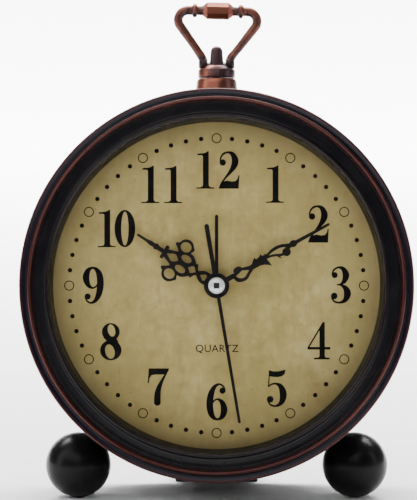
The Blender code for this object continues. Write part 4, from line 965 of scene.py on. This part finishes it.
def numeral(digit):
    """Solid and pierced outlines of a bold high-contrast numeral, 1 high, with its left edge near x = 0."""
    if digit == "1":
        stem = [(0.0, 0.0), (0.486, 0.0), (0.486, 0.03), (0.40, 0.036), (0.352, 0.055), (0.335, 0.09),
                (0.335, 1.0), (0.30, 1.0), (0.27, 0.975), (0.20, 0.952), (0.03, 0.935), (0.03, 0.895),
                (0.13, 0.895), (0.165, 0.885), (0.178, 0.86), (0.178, 0.09), (0.16, 0.055), (0.11, 0.036),
                (0.0, 0.03)]
        return [stem], []
    if digit == "2":
        bowl = [(0.042, 0.715, 0.035), (0.055, 0.83, 0.045), (0.13, 0.935, 0.055), (0.26, 0.972, 0.06),
                (0.375, 0.915, 0.125), (0.44, 0.755, 0.178), (0.405, 0.60, 0.155), (0.31, 0.45, 0.095),
                (0.18, 0.29, 0.055), (0.08, 0.15, 0.045), (0.035, 0.04, 0.05)]
        base = [(0.0, 0.0), (0.535, 0.0), (0.555, 0.36), (0.525, 0.36), (0.505, 0.27), (0.455, 0.205),
                (0.36, 0.19), (0.22, 0.215), (0.13, 0.19), (0.05, 0.11), (0.012, 0.05)]
        return [ribbon(bowl), base, circle(0.085, 0.108, 0.70, 32)], []
    if digit == "3":
        upper = [(0.075, 0.79, 0.035), (0.12, 0.90, 0.05), (0.245, 0.972, 0.055), (0.375, 0.925, 0.12),
                 (0.445, 0.765, 0.178), (0.395, 0.60, 0.12), (0.30, 0.522, 0.05), (0.20, 0.508, 0.034)]
        lower = [(0.20, 0.508, 0.034), (0.32, 0.492, 0.055), (0.435, 0.41, 0.14), (0.485, 0.265, 0.19),
                 (0.425, 0.10, 0.125), (0.29, 0.03, 0.06), (0.14, 0.055, 0.05), (0.055, 0.17, 0.035)]
        balls = [circle(0.08, 0.145, 0.765, 32), circle(0.088, 0.13, 0.205, 32)]
        return [ribbon(upper), ribbon(lower)] + balls, []
    if digit == "4":
        outer = [(0.0, 0.265), (0.318, 0.265), (0.318, 0.09), (0.295, 0.055), (0.17, 0.045), (0.17, 0.0),
                 (0.595, 0.0), (0.595, 0.045), (0.485, 0.055), (0.463, 0.09), (0.463, 0.265), (0.612, 0.265),
                 (0.612, 0.335), (0.463, 0.335), (0.463, 1.0), (0.405, 1.0), (0.0, 0.325)]
        return [outer], [[(0.055, 0.335), (0.318, 0.335), (0.318, 0.775)]]
    if digit == "5":
        flag = [(0.075, 0.985), (0.20, 0.955), (0.33, 0.955), (0.525, 1.0), (0.50, 0.885), (0.43, 0.825),
                (0.32, 0.80), (0.20, 0.805), (0.10, 0.82), (0.085, 0.55), (0.05, 0.53), (0.07, 0.80)]
        bowl = [(0.065, 0.545, 0.035), (0.15, 0.605, 0.045), (0.27, 0.622, 0.06), (0.395, 0.545, 0.135),
                (0.462, 0.345, 0.19), (0.42, 0.135, 0.135), (0.285, 0.03, 0.06), (0.135, 0.05, 0.045),
                (0.045, 0.16, 0.035)]
        return [flag, ribbon(bowl), circle(0.088, 0.112, 0.205, 32)], []
    if digit in "69":
        left = [(0.50, 0.835, 0.035), (0.44, 0.93, 0.045), (0.335, 0.972, 0.055), (0.215, 0.895, 0.105),
                (0.125, 0.70, 0.165), (0.092, 0.44, 0.182), (0.122, 0.21, 0.165), (0.20, 0.075, 0.105),
                (0.295, 0.028, 0.055)]
        right = [(0.155, 0.44, 0.035), (0.215, 0.535, 0.045), (0.315, 0.57, 0.055), (0.425, 0.48, 0.13),
                 (0.478, 0.295, 0.178), (0.435, 0.125, 0.14), (0.36, 0.05, 0.08), (0.27, 0.026, 0.052)]
        shapes = [ribbon(left), ribbon(right), circle(0.082, 0.435, 0.80, 32)]
        if digit == "9":
            shapes = [[(0.568 - x, 1.0 - z) for x, z in shape] for shape in shapes]
        return shapes, []
    if digit == "7":
        bar = [(0.0, 0.60), (0.032, 0.60), (0.055, 0.74), (0.105, 0.815), (0.20, 0.835), (0.46, 0.835),
               (0.56, 0.93), (0.575, 1.0), (0.03, 1.0), (0.028, 0.96)]
        leg = [(0.555, 0.97, 0.035), (0.475, 0.83, 0.05), (0.385, 0.665, 0.08), (0.305, 0.48, 0.13),
               (0.268, 0.30, 0.165), (0.262, 0.09, 0.178)]
        return [bar, ribbon(leg), circle(0.089, 0.262, 0.089, 32)], []
    if digit == "8":
        solids = [oval(0.285, 0.762, 0.238, 0.238), oval(0.287, 0.272, 0.287, 0.272)]
        solids.append([(0.08, 0.62), (0.30, 0.40), (0.50, 0.44), (0.46, 0.56), (0.32, 0.66)])
        return solids, [oval(0.305, 0.80, 0.098, 0.165, 14), oval(0.262, 0.235, 0.125, 0.195, 14)]
    return [oval(0.278, 0.5, 0.278, 0.5)], [oval(0.278, 0.5, 0.098, 0.452)]


# Widths of the single digits, and left edges of the digits of the other hours, as shares of the height.
NUMERAL_WIDTHS = {"1": 0.486, "2": 0.555, "3": 0.585, "4": 0.612, "5": 0.56, "6": 0.568, "7": 0.575,
                  "8": 0.574, "9": 0.568}
NUMERAL_LAYOUT = {"10": (-0.51, -0.058), "11": (-0.548, 0.062), "12": (-0.57, 0.032)}


def number_outlines(value):
    """Outlines of an hour number round its own centre, in millimetres."""
    text = str(value)
    starts = NUMERAL_LAYOUT[text] if len(text) == 2 else (-NUMERAL_WIDTHS[text] / 2,)
    made = []
    for digit, start in zip(text, starts):
        solids, holes = numeral(digit)
        place = NUMERAL_PLACES[value]
        shift = [[[((x + start) * NUMERAL_HEIGHT + place[0], (z - 0.5) * NUMERAL_HEIGHT + place[1])
                   for x, z in outline] for outline in group] for group in (solids, holes)]
        made.append(shift)
    return made


def lettering(text, height, x, z, y, depth, turn=0.0, spacing=1.0):
    """Flat letters of the built-in face, as a solid in the dial's plane; turn is about Y, in degrees."""
    curve = bpy.data.curves.new("letters", "FONT")
    curve.body = text
    curve.align_x = "CENTER"
    curve.align_y = "CENTER"
    curve.size = height * 1.38
    curve.space_character = spacing
    curve.extrude = depth / 2
    curve.resolution_u = 6
    holder = placed("letters", curve)
    bpy.context.view_layer.update()
    mesh = bpy.data.meshes.new_from_object(holder.evaluated_get(bpy.context.evaluated_depsgraph_get()))
    bm = bmesh.new()
    bm.from_mesh(mesh)
    bpy.data.objects.remove(holder)
    bpy.data.meshes.remove(mesh)
    bmesh.ops.remove_doubles(bm, verts=bm.verts, dist=1e-4)
    upright = spun(90, "X")
    return along(bm, moved(x, y, z) @ spun(turn, "Y") @ upright)


def make_dial_print():
    """Numerals, minute track and the word below the centre, printed on the dial."""
    front, back = -0.05, 0.02
    solids = []
    for value in NUMERAL_PLACES:
        for outlines, holes in number_outlines(value):
            solids.append(layered((front, back, outlines, holes)))
    solids.append(lettering("QUARTZ", 2.45, 0.1, -20.5, -0.03, 0.05, spacing=1.04))
    piece("dial_numerals", merged(solids), FINISH["ink"], "case")
    track = []
    for minute in range(60):
        a = radians(6 * minute)
        x, z = TRACK_R * sin(a), TRACK_R * cos(a)
        if minute % 5:
            track.append(layered((front, back, [circle(DOT_R, x, z, 24)], [])))
        else:
            hole = [circle(RING_R - RING_LINE, x, z, 40)]
            track.append(layered((front, back, [circle(RING_R, x, z, 40)], hole)))
    piece("dial_track", merged(track), FINISH["brown_ink"], "case")


# ---------------------------------------------------------------- hands

def both_sides(points, steps=4):
    """Closed outline from the points (s, q) of its right half, mirrored across the hand's centre line."""
    half = smooth_line([(q, s) for s, q in points], steps)
    return half + [(-q, s) for q, s in reversed(half) if q > 1e-6]


def hour_outlines():
    """Solid and pierced outlines of the openwork hour hand, pointing up."""
    neck = [(3.0, 2.1), (4.6, 2.12), (5.6, 1.95), (6.5, 1.5), (7.2, 0.95), (7.8, 0.75)]
    body = [(7.4, 0.7), (8.1, 1.35), (8.6, 2.5), (9.3, 2.35), (9.9, 2.9), (10.6, 3.5), (11.4, 3.95),
            (12.2, 4.1)]
    body += [(13.6, 4.1), (15.0, 3.6), (16.0, 3.0), (16.8, 2.35), (18.2, 1.85), (19.8, 1.35)]
    solids = [circle(4.05), both_sides(neck), both_sides(body)]
    holes = [both_sides([(4.2, 0.7), (4.7, 1.07), (5.4, 0.75), (6.35, 0.0)])]
    holes.append(both_sides([(8.05, 0.0), (8.8, 0.75), (9.5, 1.2), (10.2, 0.75), (10.9, 0.0)]))
    holes.append(both_sides([(14.8, 0.0), (15.6, 0.75), (16.6, 1.28), (17.8, 0.8), (19.15, 0.0)]))
    for side in (-1, 1):
        holes.append(oval(side * 1.93, 12.85, 1.12, 1.82))
        holes.append(oval(side * 5.05, 15.0, 1.62, 1.8))
        solids.append(circle(2.55, side * 5.07, 15.0))
        leaf = closed_curve([(16.2, 2.7), (17.2, 3.4), (18.6, 4.45), (17.3, 5.4), (16.0, 4.6)])
        solids.append([(side * q, s) for s, q in leaf])
        bud = closed_curve([(13.0, 4.0), (12.6, 4.5), (12.1, 5.45), (12.7, 6.2), (14.0, 5.4)])
        solids.append([(side * q, s) for s, q in bud])
        solids.append(circle(0.62, side * 1.75, 20.05, 24))
    solids.append(rectangle(-1.75, 1.75, 19.5, 20.6))
    solids.append(stroke([(19.6, 0, 1.4), (22.3, 0, 1.45), (23.1, 0, 2.0), (23.6, 0, 2.05), (24.1, 0, 1.35),
                          (25.3, 0, 1.55), (26.3, 0, 1.15), (27.4, 0, 0.9), (30.2, 0, 0.8)]))
    solids.append(circle(0.4, 0, 30.2, 24))
    return solids, holes


def minute_outlines():
    """Solid and pierced outlines of the openwork minute hand, pointing up."""
    loop = [(6.2, 0.2), (6.0, 1.0), (6.3, 1.9), (7.2, 2.7), (8.9, 3.07), (10.3, 2.7), (11.6, 1.8),
            (12.6, 1.3), (12.9, 0.4), (12.6, -0.4), (11.0, -0.85), (9.5, -1.2), (7.4, -1.2), (6.6, -0.6)]
    eye = [(7.05, 0.35), (7.4, 1.2), (8.4, 1.85), (9.4, 1.94), (10.4, 1.4), (11.5, 0.65), (10.4, 0.1),
           (9.5, -0.3), (8.4, 0.0)]
    leaf = [(12.3, -0.45), (13.4, -0.65), (14.2, -1.5), (15.0, -2.05), (15.3, -1.35), (16.3, -1.5),
            (17.3, -2.15), (17.5, -1.4), (18.2, -1.3), (18.75, -1.65), (18.9, -1.0), (19.3, -0.6),
            (18.9, 0.0), (18.4, 0.4),
            (18.6, 1.6), (18.85, 3.0), (17.9, 2.2), (16.8, 1.5), (15.5, 1.13), (13.3, 1.13), (12.5, 1.25)]
    solids = [circle(4.1), stroke([(3.0, -0.1, 1.6), (6.6, -0.1, 1.6)])]
    solids += [oval(-1.13, 8.35, 1.05, 1.5), [(q, s) for s, q in closed_curve(loop)],
               [(q, s) for s, q in leaf]]
    solids.append(stroke([(18.6, -0.6, 0.9), (19.8, -1.0, 0.85), (21.2, -1.35, 1.0), (22.8, -1.45, 1.05),
                          (24.4, -1.25, 1.05), (26.0, -0.55, 1.1), (27.3, -0.1, 1.2)]))
    solids.append(stroke([(18.6, -0.2, 0.8), (20.2, 0.1, 0.75), (21.6, 0.6, 0.8), (22.8, 1.2, 0.85),
                          (24.0, 1.5, 0.9)]))
    solids.append(stroke([(22.0, 0.9, 0.8), (22.6, 2.25, 0.25)]))
    solids.append(circle(1.38, 1.3, 25.05, 40))
    solids.append(stroke([(25.2, 0.9, 1.6), (26.4, 0.2, 1.4), (27.3, 0.0, 1.3)]))
    solids.append(stroke([(27.1, 0, 1.4), (27.9, 0, 2.15), (28.7, 0, 2.15), (29.3, 0, 1.4), (30.2, 0, 1.2),
                          (36.0, 0, 1.02), (41.2, 0, 0.86)]))
    solids.append(circle(0.43, 0, 41.2, 24))
    return solids, [[(q, s) for s, q in closed_curve(eye)]]


def make_hands():
    """The four hands, and the polished cap with its square socket."""
    alarm = [circle(3.9), circle(0.54, 0, 22.4, 24)]
    alarm.append(stroke([(3.0, 0, 1.2), (10.0, 0, 1.1), (22.4, 0, 1.08)], 1))
    second = [circle(2.4), circle(0.75, 0, -19.4, 32), circle(0.45, 0, 44.6, 24)]
    second.append(stroke([(-19.4, 0, 1.5), (-2, 0, 1.3), (0, 0, 1.2), (20, 0, 0.95), (44.6, 0, 0.9)], 1))
    hour, hour_holes = hour_outlines()
    minute, minute_holes = minute_outlines()
    for name, body, angle, levels in (
        ("alarm", "alarm_hand_group", ALARM_ANGLE, (-1.4, -1.0, alarm, [circle(3.05)])),
        ("hour", "hour_hand_group", HOUR_ANGLE, (-2.4, -2.0, hour, hour_holes + [circle(2.2)])),
        ("minute", "minute_hand_group", MINUTE_ANGLE, (-3.4, -3.0, minute, minute_holes + [circle(1.35)])),
        ("second", "second_hand_group", SECOND_ANGLE, (-4.4, -4.1, second, [circle(0.55, points=32)])),
    ):
        hand = piece(f"{name}_hand_fine", layered(levels), FINISH["hands"], body, [f"{name}_hand"],
                     spun(angle, "Y"))
        bevelled(hand, 0.07, 2, 50)
    cap = [(0, -5.8), (0.9, -5.78), (1.6, -5.68), (2.15, -5.45), (2.5, -5.12), (2.67, -4.85), (2.62, -4.7),
           (0, -4.7)]
    dome = piece("cap_dome", turned(cap, 64), FINISH["chrome"], "second_hand_group",
                 ["second_hand_cap"])
    cut(dome, layered((-6.2, -5.35, [rectangle(-0.95, 0.95, -0.95, 0.95)], [])))
    socket = layered(
        (-5.62, -5.42, [circle(0.26, points=24)], []),
        (-5.42, -5.30, [rectangle(-0.93, 0.93, -0.93, 0.93)], []),
    )
    piece("cap_socket", socket, FINISH["socket"], "second_hand_group")


# ---------------------------------------------------------------- back

def boss_centres():
    """Centres (x, z) of the three cover screws."""
    return [(BOSS_RING_R * sin(radians(a)), BOSS_RING_R * cos(radians(a))) for a in BOSS_ANGLES]


def make_rear_cover():
    """Moulded cover with its battery bay, rails, sound holes, screw holes and foot."""
    disc = circle(COVER_R, points=ROUND)
    bay_outer = rectangle(-29.3, 29.3, BAY_Z[0] - 1.5, BAY_Z[1] + 1.5)
    bay = rectangle(-BAY_HALF_LENGTH, BAY_HALF_LENGTH, *BAY_Z)
    leads = [circle(0.9, x, -25.2, 16) for x in (-25.9, 25.9)]
    holes = [circle(2.2, *TIME_SET, 32), circle(2.2, *ALARM_SET, 32)]
    holes += [circle(1.7, x, z, 32) for x, z in boss_centres()]
    holes.append(rectangle(-3.95, 3.95, SWITCH_Z - 1.6, SWITCH_Z + 1.6))
    holes.append(circle(1.1, 0, BUZZER_Z, 24))
    holes += [circle(1.1, 5 * cos(radians(a)), BUZZER_Z + 5 * sin(radians(a)), 24)
              for a in range(0, 360, 60)]
    low, high = BAY_Z[0] - 2.3, BAY_Z[1] + 2.3
    web = [(29, low - 1.8), (29, low), (-29.4, low), (-29.4, high), (29, high), (29, high + 1.8)]
    web += [(-31, high + 1.8), (-31, low - 1.8)]
    lip = [(29.2, low - 2), (29.2, low + 1.5), (-27.9, low + 1.5), (-27.9, high - 1.5), (29.2, high - 1.5)]
    lip += [(29.2, high + 2), (-31.2, high + 2), (-31.2, low - 2)]
    bm = layered(
        (BAY_FLOOR[0], BAY_FLOOR[1], [bay_outer], leads),
        (BAY_FLOOR[1], COVER_FRONT, [bay_outer], [bay]),
        (COVER_FRONT, COVER_REAR, [disc], holes + [bay]),
        (COVER_REAR, COVER_REAR + 2.0, [web], []),
        (COVER_REAR + 2.0, COVER_REAR + 3.0, [lip], []),
    )
    cover = piece("back_cover", bm, FINISH["moulded"], "case", ["rear_cover"])
    floor_at = {y: -REAR_FOOT_DROP + (y - REAR_FOOT_Y) * tan(LEAN) for y in (44.3, 53.5)}
    side = [(44.3, -47.0), (44.3, floor_at[44.3]), (53.5, floor_at[53.5]), (53.5, -58.5), (47.0, -47.0)]
    foot = along(layered((-14.0, 14.0, [side], [])), spun(90, "Z"))
    bevelled(cover, 0.28, 2, 50)
    bevelled(piece("back_foot", foot, FINISH["moulded"], "case"), 0.5, 3)


def raised_ring(radii, height, soft, x=0.0, z=0.0, segments=96):
    """Ring that stands on the rear cover, with the radii of its inner foot and top, outer top and foot."""
    foot, top = COVER_REAR - 0.1, COVER_REAR + height
    profile = list(zip(radii, (foot, top, top, foot)))
    return along(turned(softened(profile, soft), segments), moved(x, 0, z))


def make_rear_beads():
    """Raised rings round the cover, the knobs and the sound holes, with a gate where the door slides out."""
    rings = [raised_ring((58.4, 58.4, 59.9, 60.2), 0.45, 0.2, segments=ROUND)]
    for x, z in (TIME_SET, ALARM_SET):
        rings.append(raised_ring((9.2, 9.35, 10.15, 10.4), 0.55, 0.2, x, z))
    rings.append(raised_ring((7.4, 7.5, 8.1, 8.3), 0.4, 0.15, z=BUZZER_Z))
    beads = piece("back_cover_beads", merged(rings), FINISH["moulded"], "case")
    gate = rectangle(DOOR_HALF_LENGTH + 2.0, BEZEL_R + 1.5, BAY_Z[0] - 3.0, BAY_Z[1] + 3.0)
    cut(beads, layered((COVER_REAR - 1.0, COVER_REAR + 2.0, [gate], [])))

def curved_arrow(radius, start, end, x, z, width=0.55):
    """Outlines of an arc with an arrow head at its end, round (x, z), in degrees."""
    line = [(px, pz, width) for px, pz in arc(x, z, radius, start, end, 24)]
    a = radians(end)
    ahead = 1 if end > start else -1
    tip = (x + radius * cos(a) - ahead * 1.9 * sin(a), z + radius * sin(a) + ahead * 1.9 * cos(a))
    outer = (x + (radius + 1.0) * cos(a), z + (radius + 1.0) * sin(a))
    inner = (x + (radius - 1.0) * cos(a), z + (radius - 1.0) * sin(a))
    return [ribbon(line, 1), [tip, outer, inner]]


def make_legends():
    """Generic printed signs beside the knobs and the switch: turning arrows, a clock, a bell, ON and OFF."""
    y0, y1 = COVER_REAR - 0.02, COVER_REAR + 0.05
    marks = []
    for x, z in (TIME_SET, ALARM_SET):
        marks.append(layered((y0, y1, curved_arrow(12.2, 150, 115, x, z), [])))
    x, z = TIME_SET[0], 16.2
    marks.append(layered((y0, y1, [circle(2.0, x, z, 40)], [circle(1.65, x, z, 40)])))
    upright = ribbon([(x, z, 0.3), (x, z + 1.2, 0.3)])
    level = ribbon([(x - 0.1, z, 0.3), (x + 0.85, z - 0.1, 0.3)])
    marks.append(layered((y0, y1, [upright, level], [])))
    x = ALARM_SET[0]
    bell = [(-2.0, -1.2), (2.0, -1.2), (1.5, -0.6), (1.35, 0.6), (0.8, 1.5), (0.25, 1.8), (-0.25, 1.8),
            (-0.8, 1.5), (-1.35, 0.6), (-1.5, -0.6)]
    marks.append(layered((y0, y1, [[(x + a, z + b) for a, b in bell]], [])))
    marks.append(layered((y0, y1, [circle(0.42, x, z - 1.75, 20)], [])))
    for word, place in (("ON", 8.6), ("OFF", -9.4)):
        marks.append(lettering(word, 2.1, place, SWITCH_Z, y1 - 0.02, 0.05, turn=180))
    piece("back_legends", merged(marks), FINISH["legend"], "case")


def make_battery_door():
    """Sliding door with grip ribs and an arrow."""
    low, high = BAY_Z[0] - 2.0, BAY_Z[1] + 2.0
    plate = rectangle(-DOOR_HALF_LENGTH, DOOR_HALF_LENGTH, low, high)
    ribs = [rectangle(x, x + 0.8, low + 5, high - 5) for x in (15, 17, 19, 21, 23)]
    arrow = [(4.0, -32.6), (9.0, -32.6), (9.0, -34.0), (12.0, -31.75), (9.0, -29.5), (9.0, -30.9),
             (4.0, -30.9)]
    door = layered(
        (COVER_REAR + GAP, COVER_REAR + 1.6, [plate], []),
        (COVER_REAR + 1.6, COVER_REAR + 2.3, ribs + [arrow], []),
    )
    bevelled(piece("door", door, FINISH["moulded"], "battery_cover", ["battery_door"]), 0.2)


def make_knobs():
    """Fluted setting knobs with a dished face."""
    count, flutes, depth = 240, 24, 0.32
    outline = []
    for a in round_turn(count):
        r = KNOB_R - depth * (0.5 - 0.5 * cos(flutes * a)) ** 2
        outline.append((r * cos(a), r * sin(a)))
    levels = [(KNOB_FRONT, 0.5), (KNOB_FRONT + 0.35, 0.08), (KNOB_FRONT + 0.8, 0.0), (KNOB_REAR - 1.9, 0.12),
              (KNOB_REAR - 1.1, 0.3), (KNOB_REAR - 0.45, 0.75), (KNOB_REAR - 0.1, 1.4), (KNOB_REAR, 2.1),
              (KNOB_REAR - 0.12, 2.6), (KNOB_REAR - 0.45, 3.3), (KNOB_REAR - 0.62, 4.6),
              (KNOB_REAR - 0.66, 7.0)]
    for name, body, (x, z) in (("time", "time_setter", TIME_SET), ("alarm", "alarm_setter", ALARM_SET)):
        knob = piece(f"{name}_knob", lofted(outline, levels), FINISH["moulded"], body,
                     [f"{name}_set_knob"], moved(x, 0, z))
        cut(knob, layered((KNOB_FRONT - 1.0, KNOB_REAR - 2.4, [circle(1.4, points=32)], [])))


def make_rear_screws():
    """Pan head screws with a cross recess."""
    profile = [(0, -1.32), (0.9, -1.3), (1.6, -1.16), (2.2, -0.82), (2.52, -0.4), (2.6, -0.1), (2.55, 0),
               (0.9, 0), (0.9, 8.4), (0.45, 9.0), (0, 9.0)]
    for number, (x, z) in enumerate(boss_centres(), 1):
        place = moved(x, COVER_REAR + GAP, z) @ Matrix.Rotation(pi, 4, "Z")
        spin = spun(25 + 47 * number, "Y")
        screw = piece(f"cover_screw_{number}", turned(profile, SMALL_ROUND), FINISH["steel"], "case",
                      [f"rear_screw_{number}"], place @ spin)
        cross = [rectangle(-1.5, 1.5, -0.27, 0.27), rectangle(-0.27, 0.27, -1.5, 1.5)]
        cut(screw, layered((-1.8, -0.5, cross, [])))


def make_switch():
    """Alarm switch slider with three ridges."""
    def plate(half_width, half_height):
        return rectangle(SWITCH_REST - half_width, SWITCH_REST + half_width, SWITCH_Z - half_height,
                         SWITCH_Z + half_height)

    ridges = [rectangle(SWITCH_REST + x, SWITCH_REST + x + 0.9, SWITCH_Z - 2.4, SWITCH_Z + 2.4)
              for x in (-2.1, -0.45, 1.2)]
    slider = layered(
        (41.3, COVER_FRONT - GAP, [plate(3.6, 2.6)], []),
        (COVER_FRONT - GAP, COVER_REAR + GAP, [plate(1.6, 1.25)], []),
        (COVER_REAR + GAP, 45.9, [plate(4.6, 2.8)], []),
        (45.9, 47.4, ridges, []),
    )
    bevelled(piece("switch_slider", slider, FINISH["grey"], "alarm_switch",
                   ["alarm_switch_slider"]),
             0.18)


# ---------------------------------------------------------------- stage

def make_stage():
    """Pale floor that curves up into a backdrop behind the clock."""
    width, near, far, height, bend = 12.0, -6.0, 4.2, 5.0, 1.6
    profile = [(near, 0.0), (far - bend, 0.0)]
    profile += [(far - bend + bend * sin(radians(a)), bend - bend * cos(radians(a)))
                for a in range(6, 91, 6)]
    profile.append((far, height))
    bm = bmesh.new()
    rows = [[bm.verts.new((x, y, z)) for x in (-width / 2, width / 2)] for y, z in profile]
    for a, b in zip(rows, rows[1:]):
        bm.faces.new([a[0], a[1], b[1], b[0]])
    mesh = mesh_of(bm, "floor")
    mesh.shade_smooth()
    floor = placed("floor", mesh)
    m = Nodes("studio_paper", 1.0)
    grain = m.noise(40.0, 3.0)
    mesh.materials.append(m.set(Base_Color=m.ramp(grain, (0.3, (0.90, 0.90, 0.90)),
                                                  (0.7, (0.93, 0.93, 0.93))),
                                Roughness=m.ramp(grain, (0.3, 0.85), (0.7, 0.95)), Specular_IOR_Level=0.1))


def light(name, place, aim, size, power, spread=180):
    """Soft white lamp of (width, height) metres, aimed at a point, with its spread in degrees."""
    data = bpy.data.lights.new(name, "AREA")
    data.shape = "RECTANGLE"
    data.size, data.size_y = size
    data.energy = power
    data.spread = radians(spread)
    lamp = placed(name, data)
    lamp.location = place
    lamp.rotation_euler = (Vector(aim) - Vector(place)).to_track_quat("-Z", "Y").to_euler()


def make_lights():
    """Broad lights in front and above, strips at both sides, one on the floor behind, a dim surround."""
    aim = (0.0, 0.0, 0.08)
    light("key", (-0.35, -0.85, 1.05), aim, (1.7, 1.2), 12.0)
    light("left", (-0.90, -0.30, 0.40), aim, (0.30, 0.9), 2.6)
    light("right", (0.95, -0.25, 0.45), aim, (0.25, 0.7), 1.2)
    light("top", (0.0, 0.10, 1.10), aim, (0.8, 0.5), 2.5)
    light("floor_wash", (0.0, 2.3, 2.6), (0.0, 2.3, 0.0), (5.0, 3.0), 620.0, spread=95)
    world = bpy.data.worlds.new("surround")
    bpy.context.scene.world = world
    world.use_nodes = True
    background = world.node_tree.nodes["Background"]
    background.inputs["Color"].default_value = (1.0, 1.0, 1.0, 1.0)
    background.inputs["Strength"].default_value = 0.07


def make_camera():
    """Camera on the dial's axis, shifted so that the dial sits below the picture's middle."""
    distance, bezel_y = 900.0, -11.0
    seen_height = 160.2
    data = bpy.data.cameras.new("camera")
    camera = placed("camera", data)
    camera.matrix_world = Matrix.Translation(CLOCK @ Vector((0, bezel_y - distance, 0))) @ (
        Matrix.Rotation(radians(90) - LEAN, 4, "X"))
    data.sensor_width = 36.0
    data.lens = data.sensor_width * distance / seen_height
    data.shift_x = -0.0162
    data.shift_y = 0.0712
    data.clip_start, data.clip_end = 0.01, 50.0
    bpy.context.scene.camera = camera


def main():
    """Builds the whole picture."""
    make_camera()
    dress_carried()
    make_case()
    make_feet()
    make_crown()
    make_bail()
    make_dial_print()
    make_hands()
    make_rear_cover()
    make_rear_beads()
    make_legends()
    make_battery_door()
    make_knobs()
    make_rear_screws()
    make_switch()
    make_stage()
    make_lights()


main()
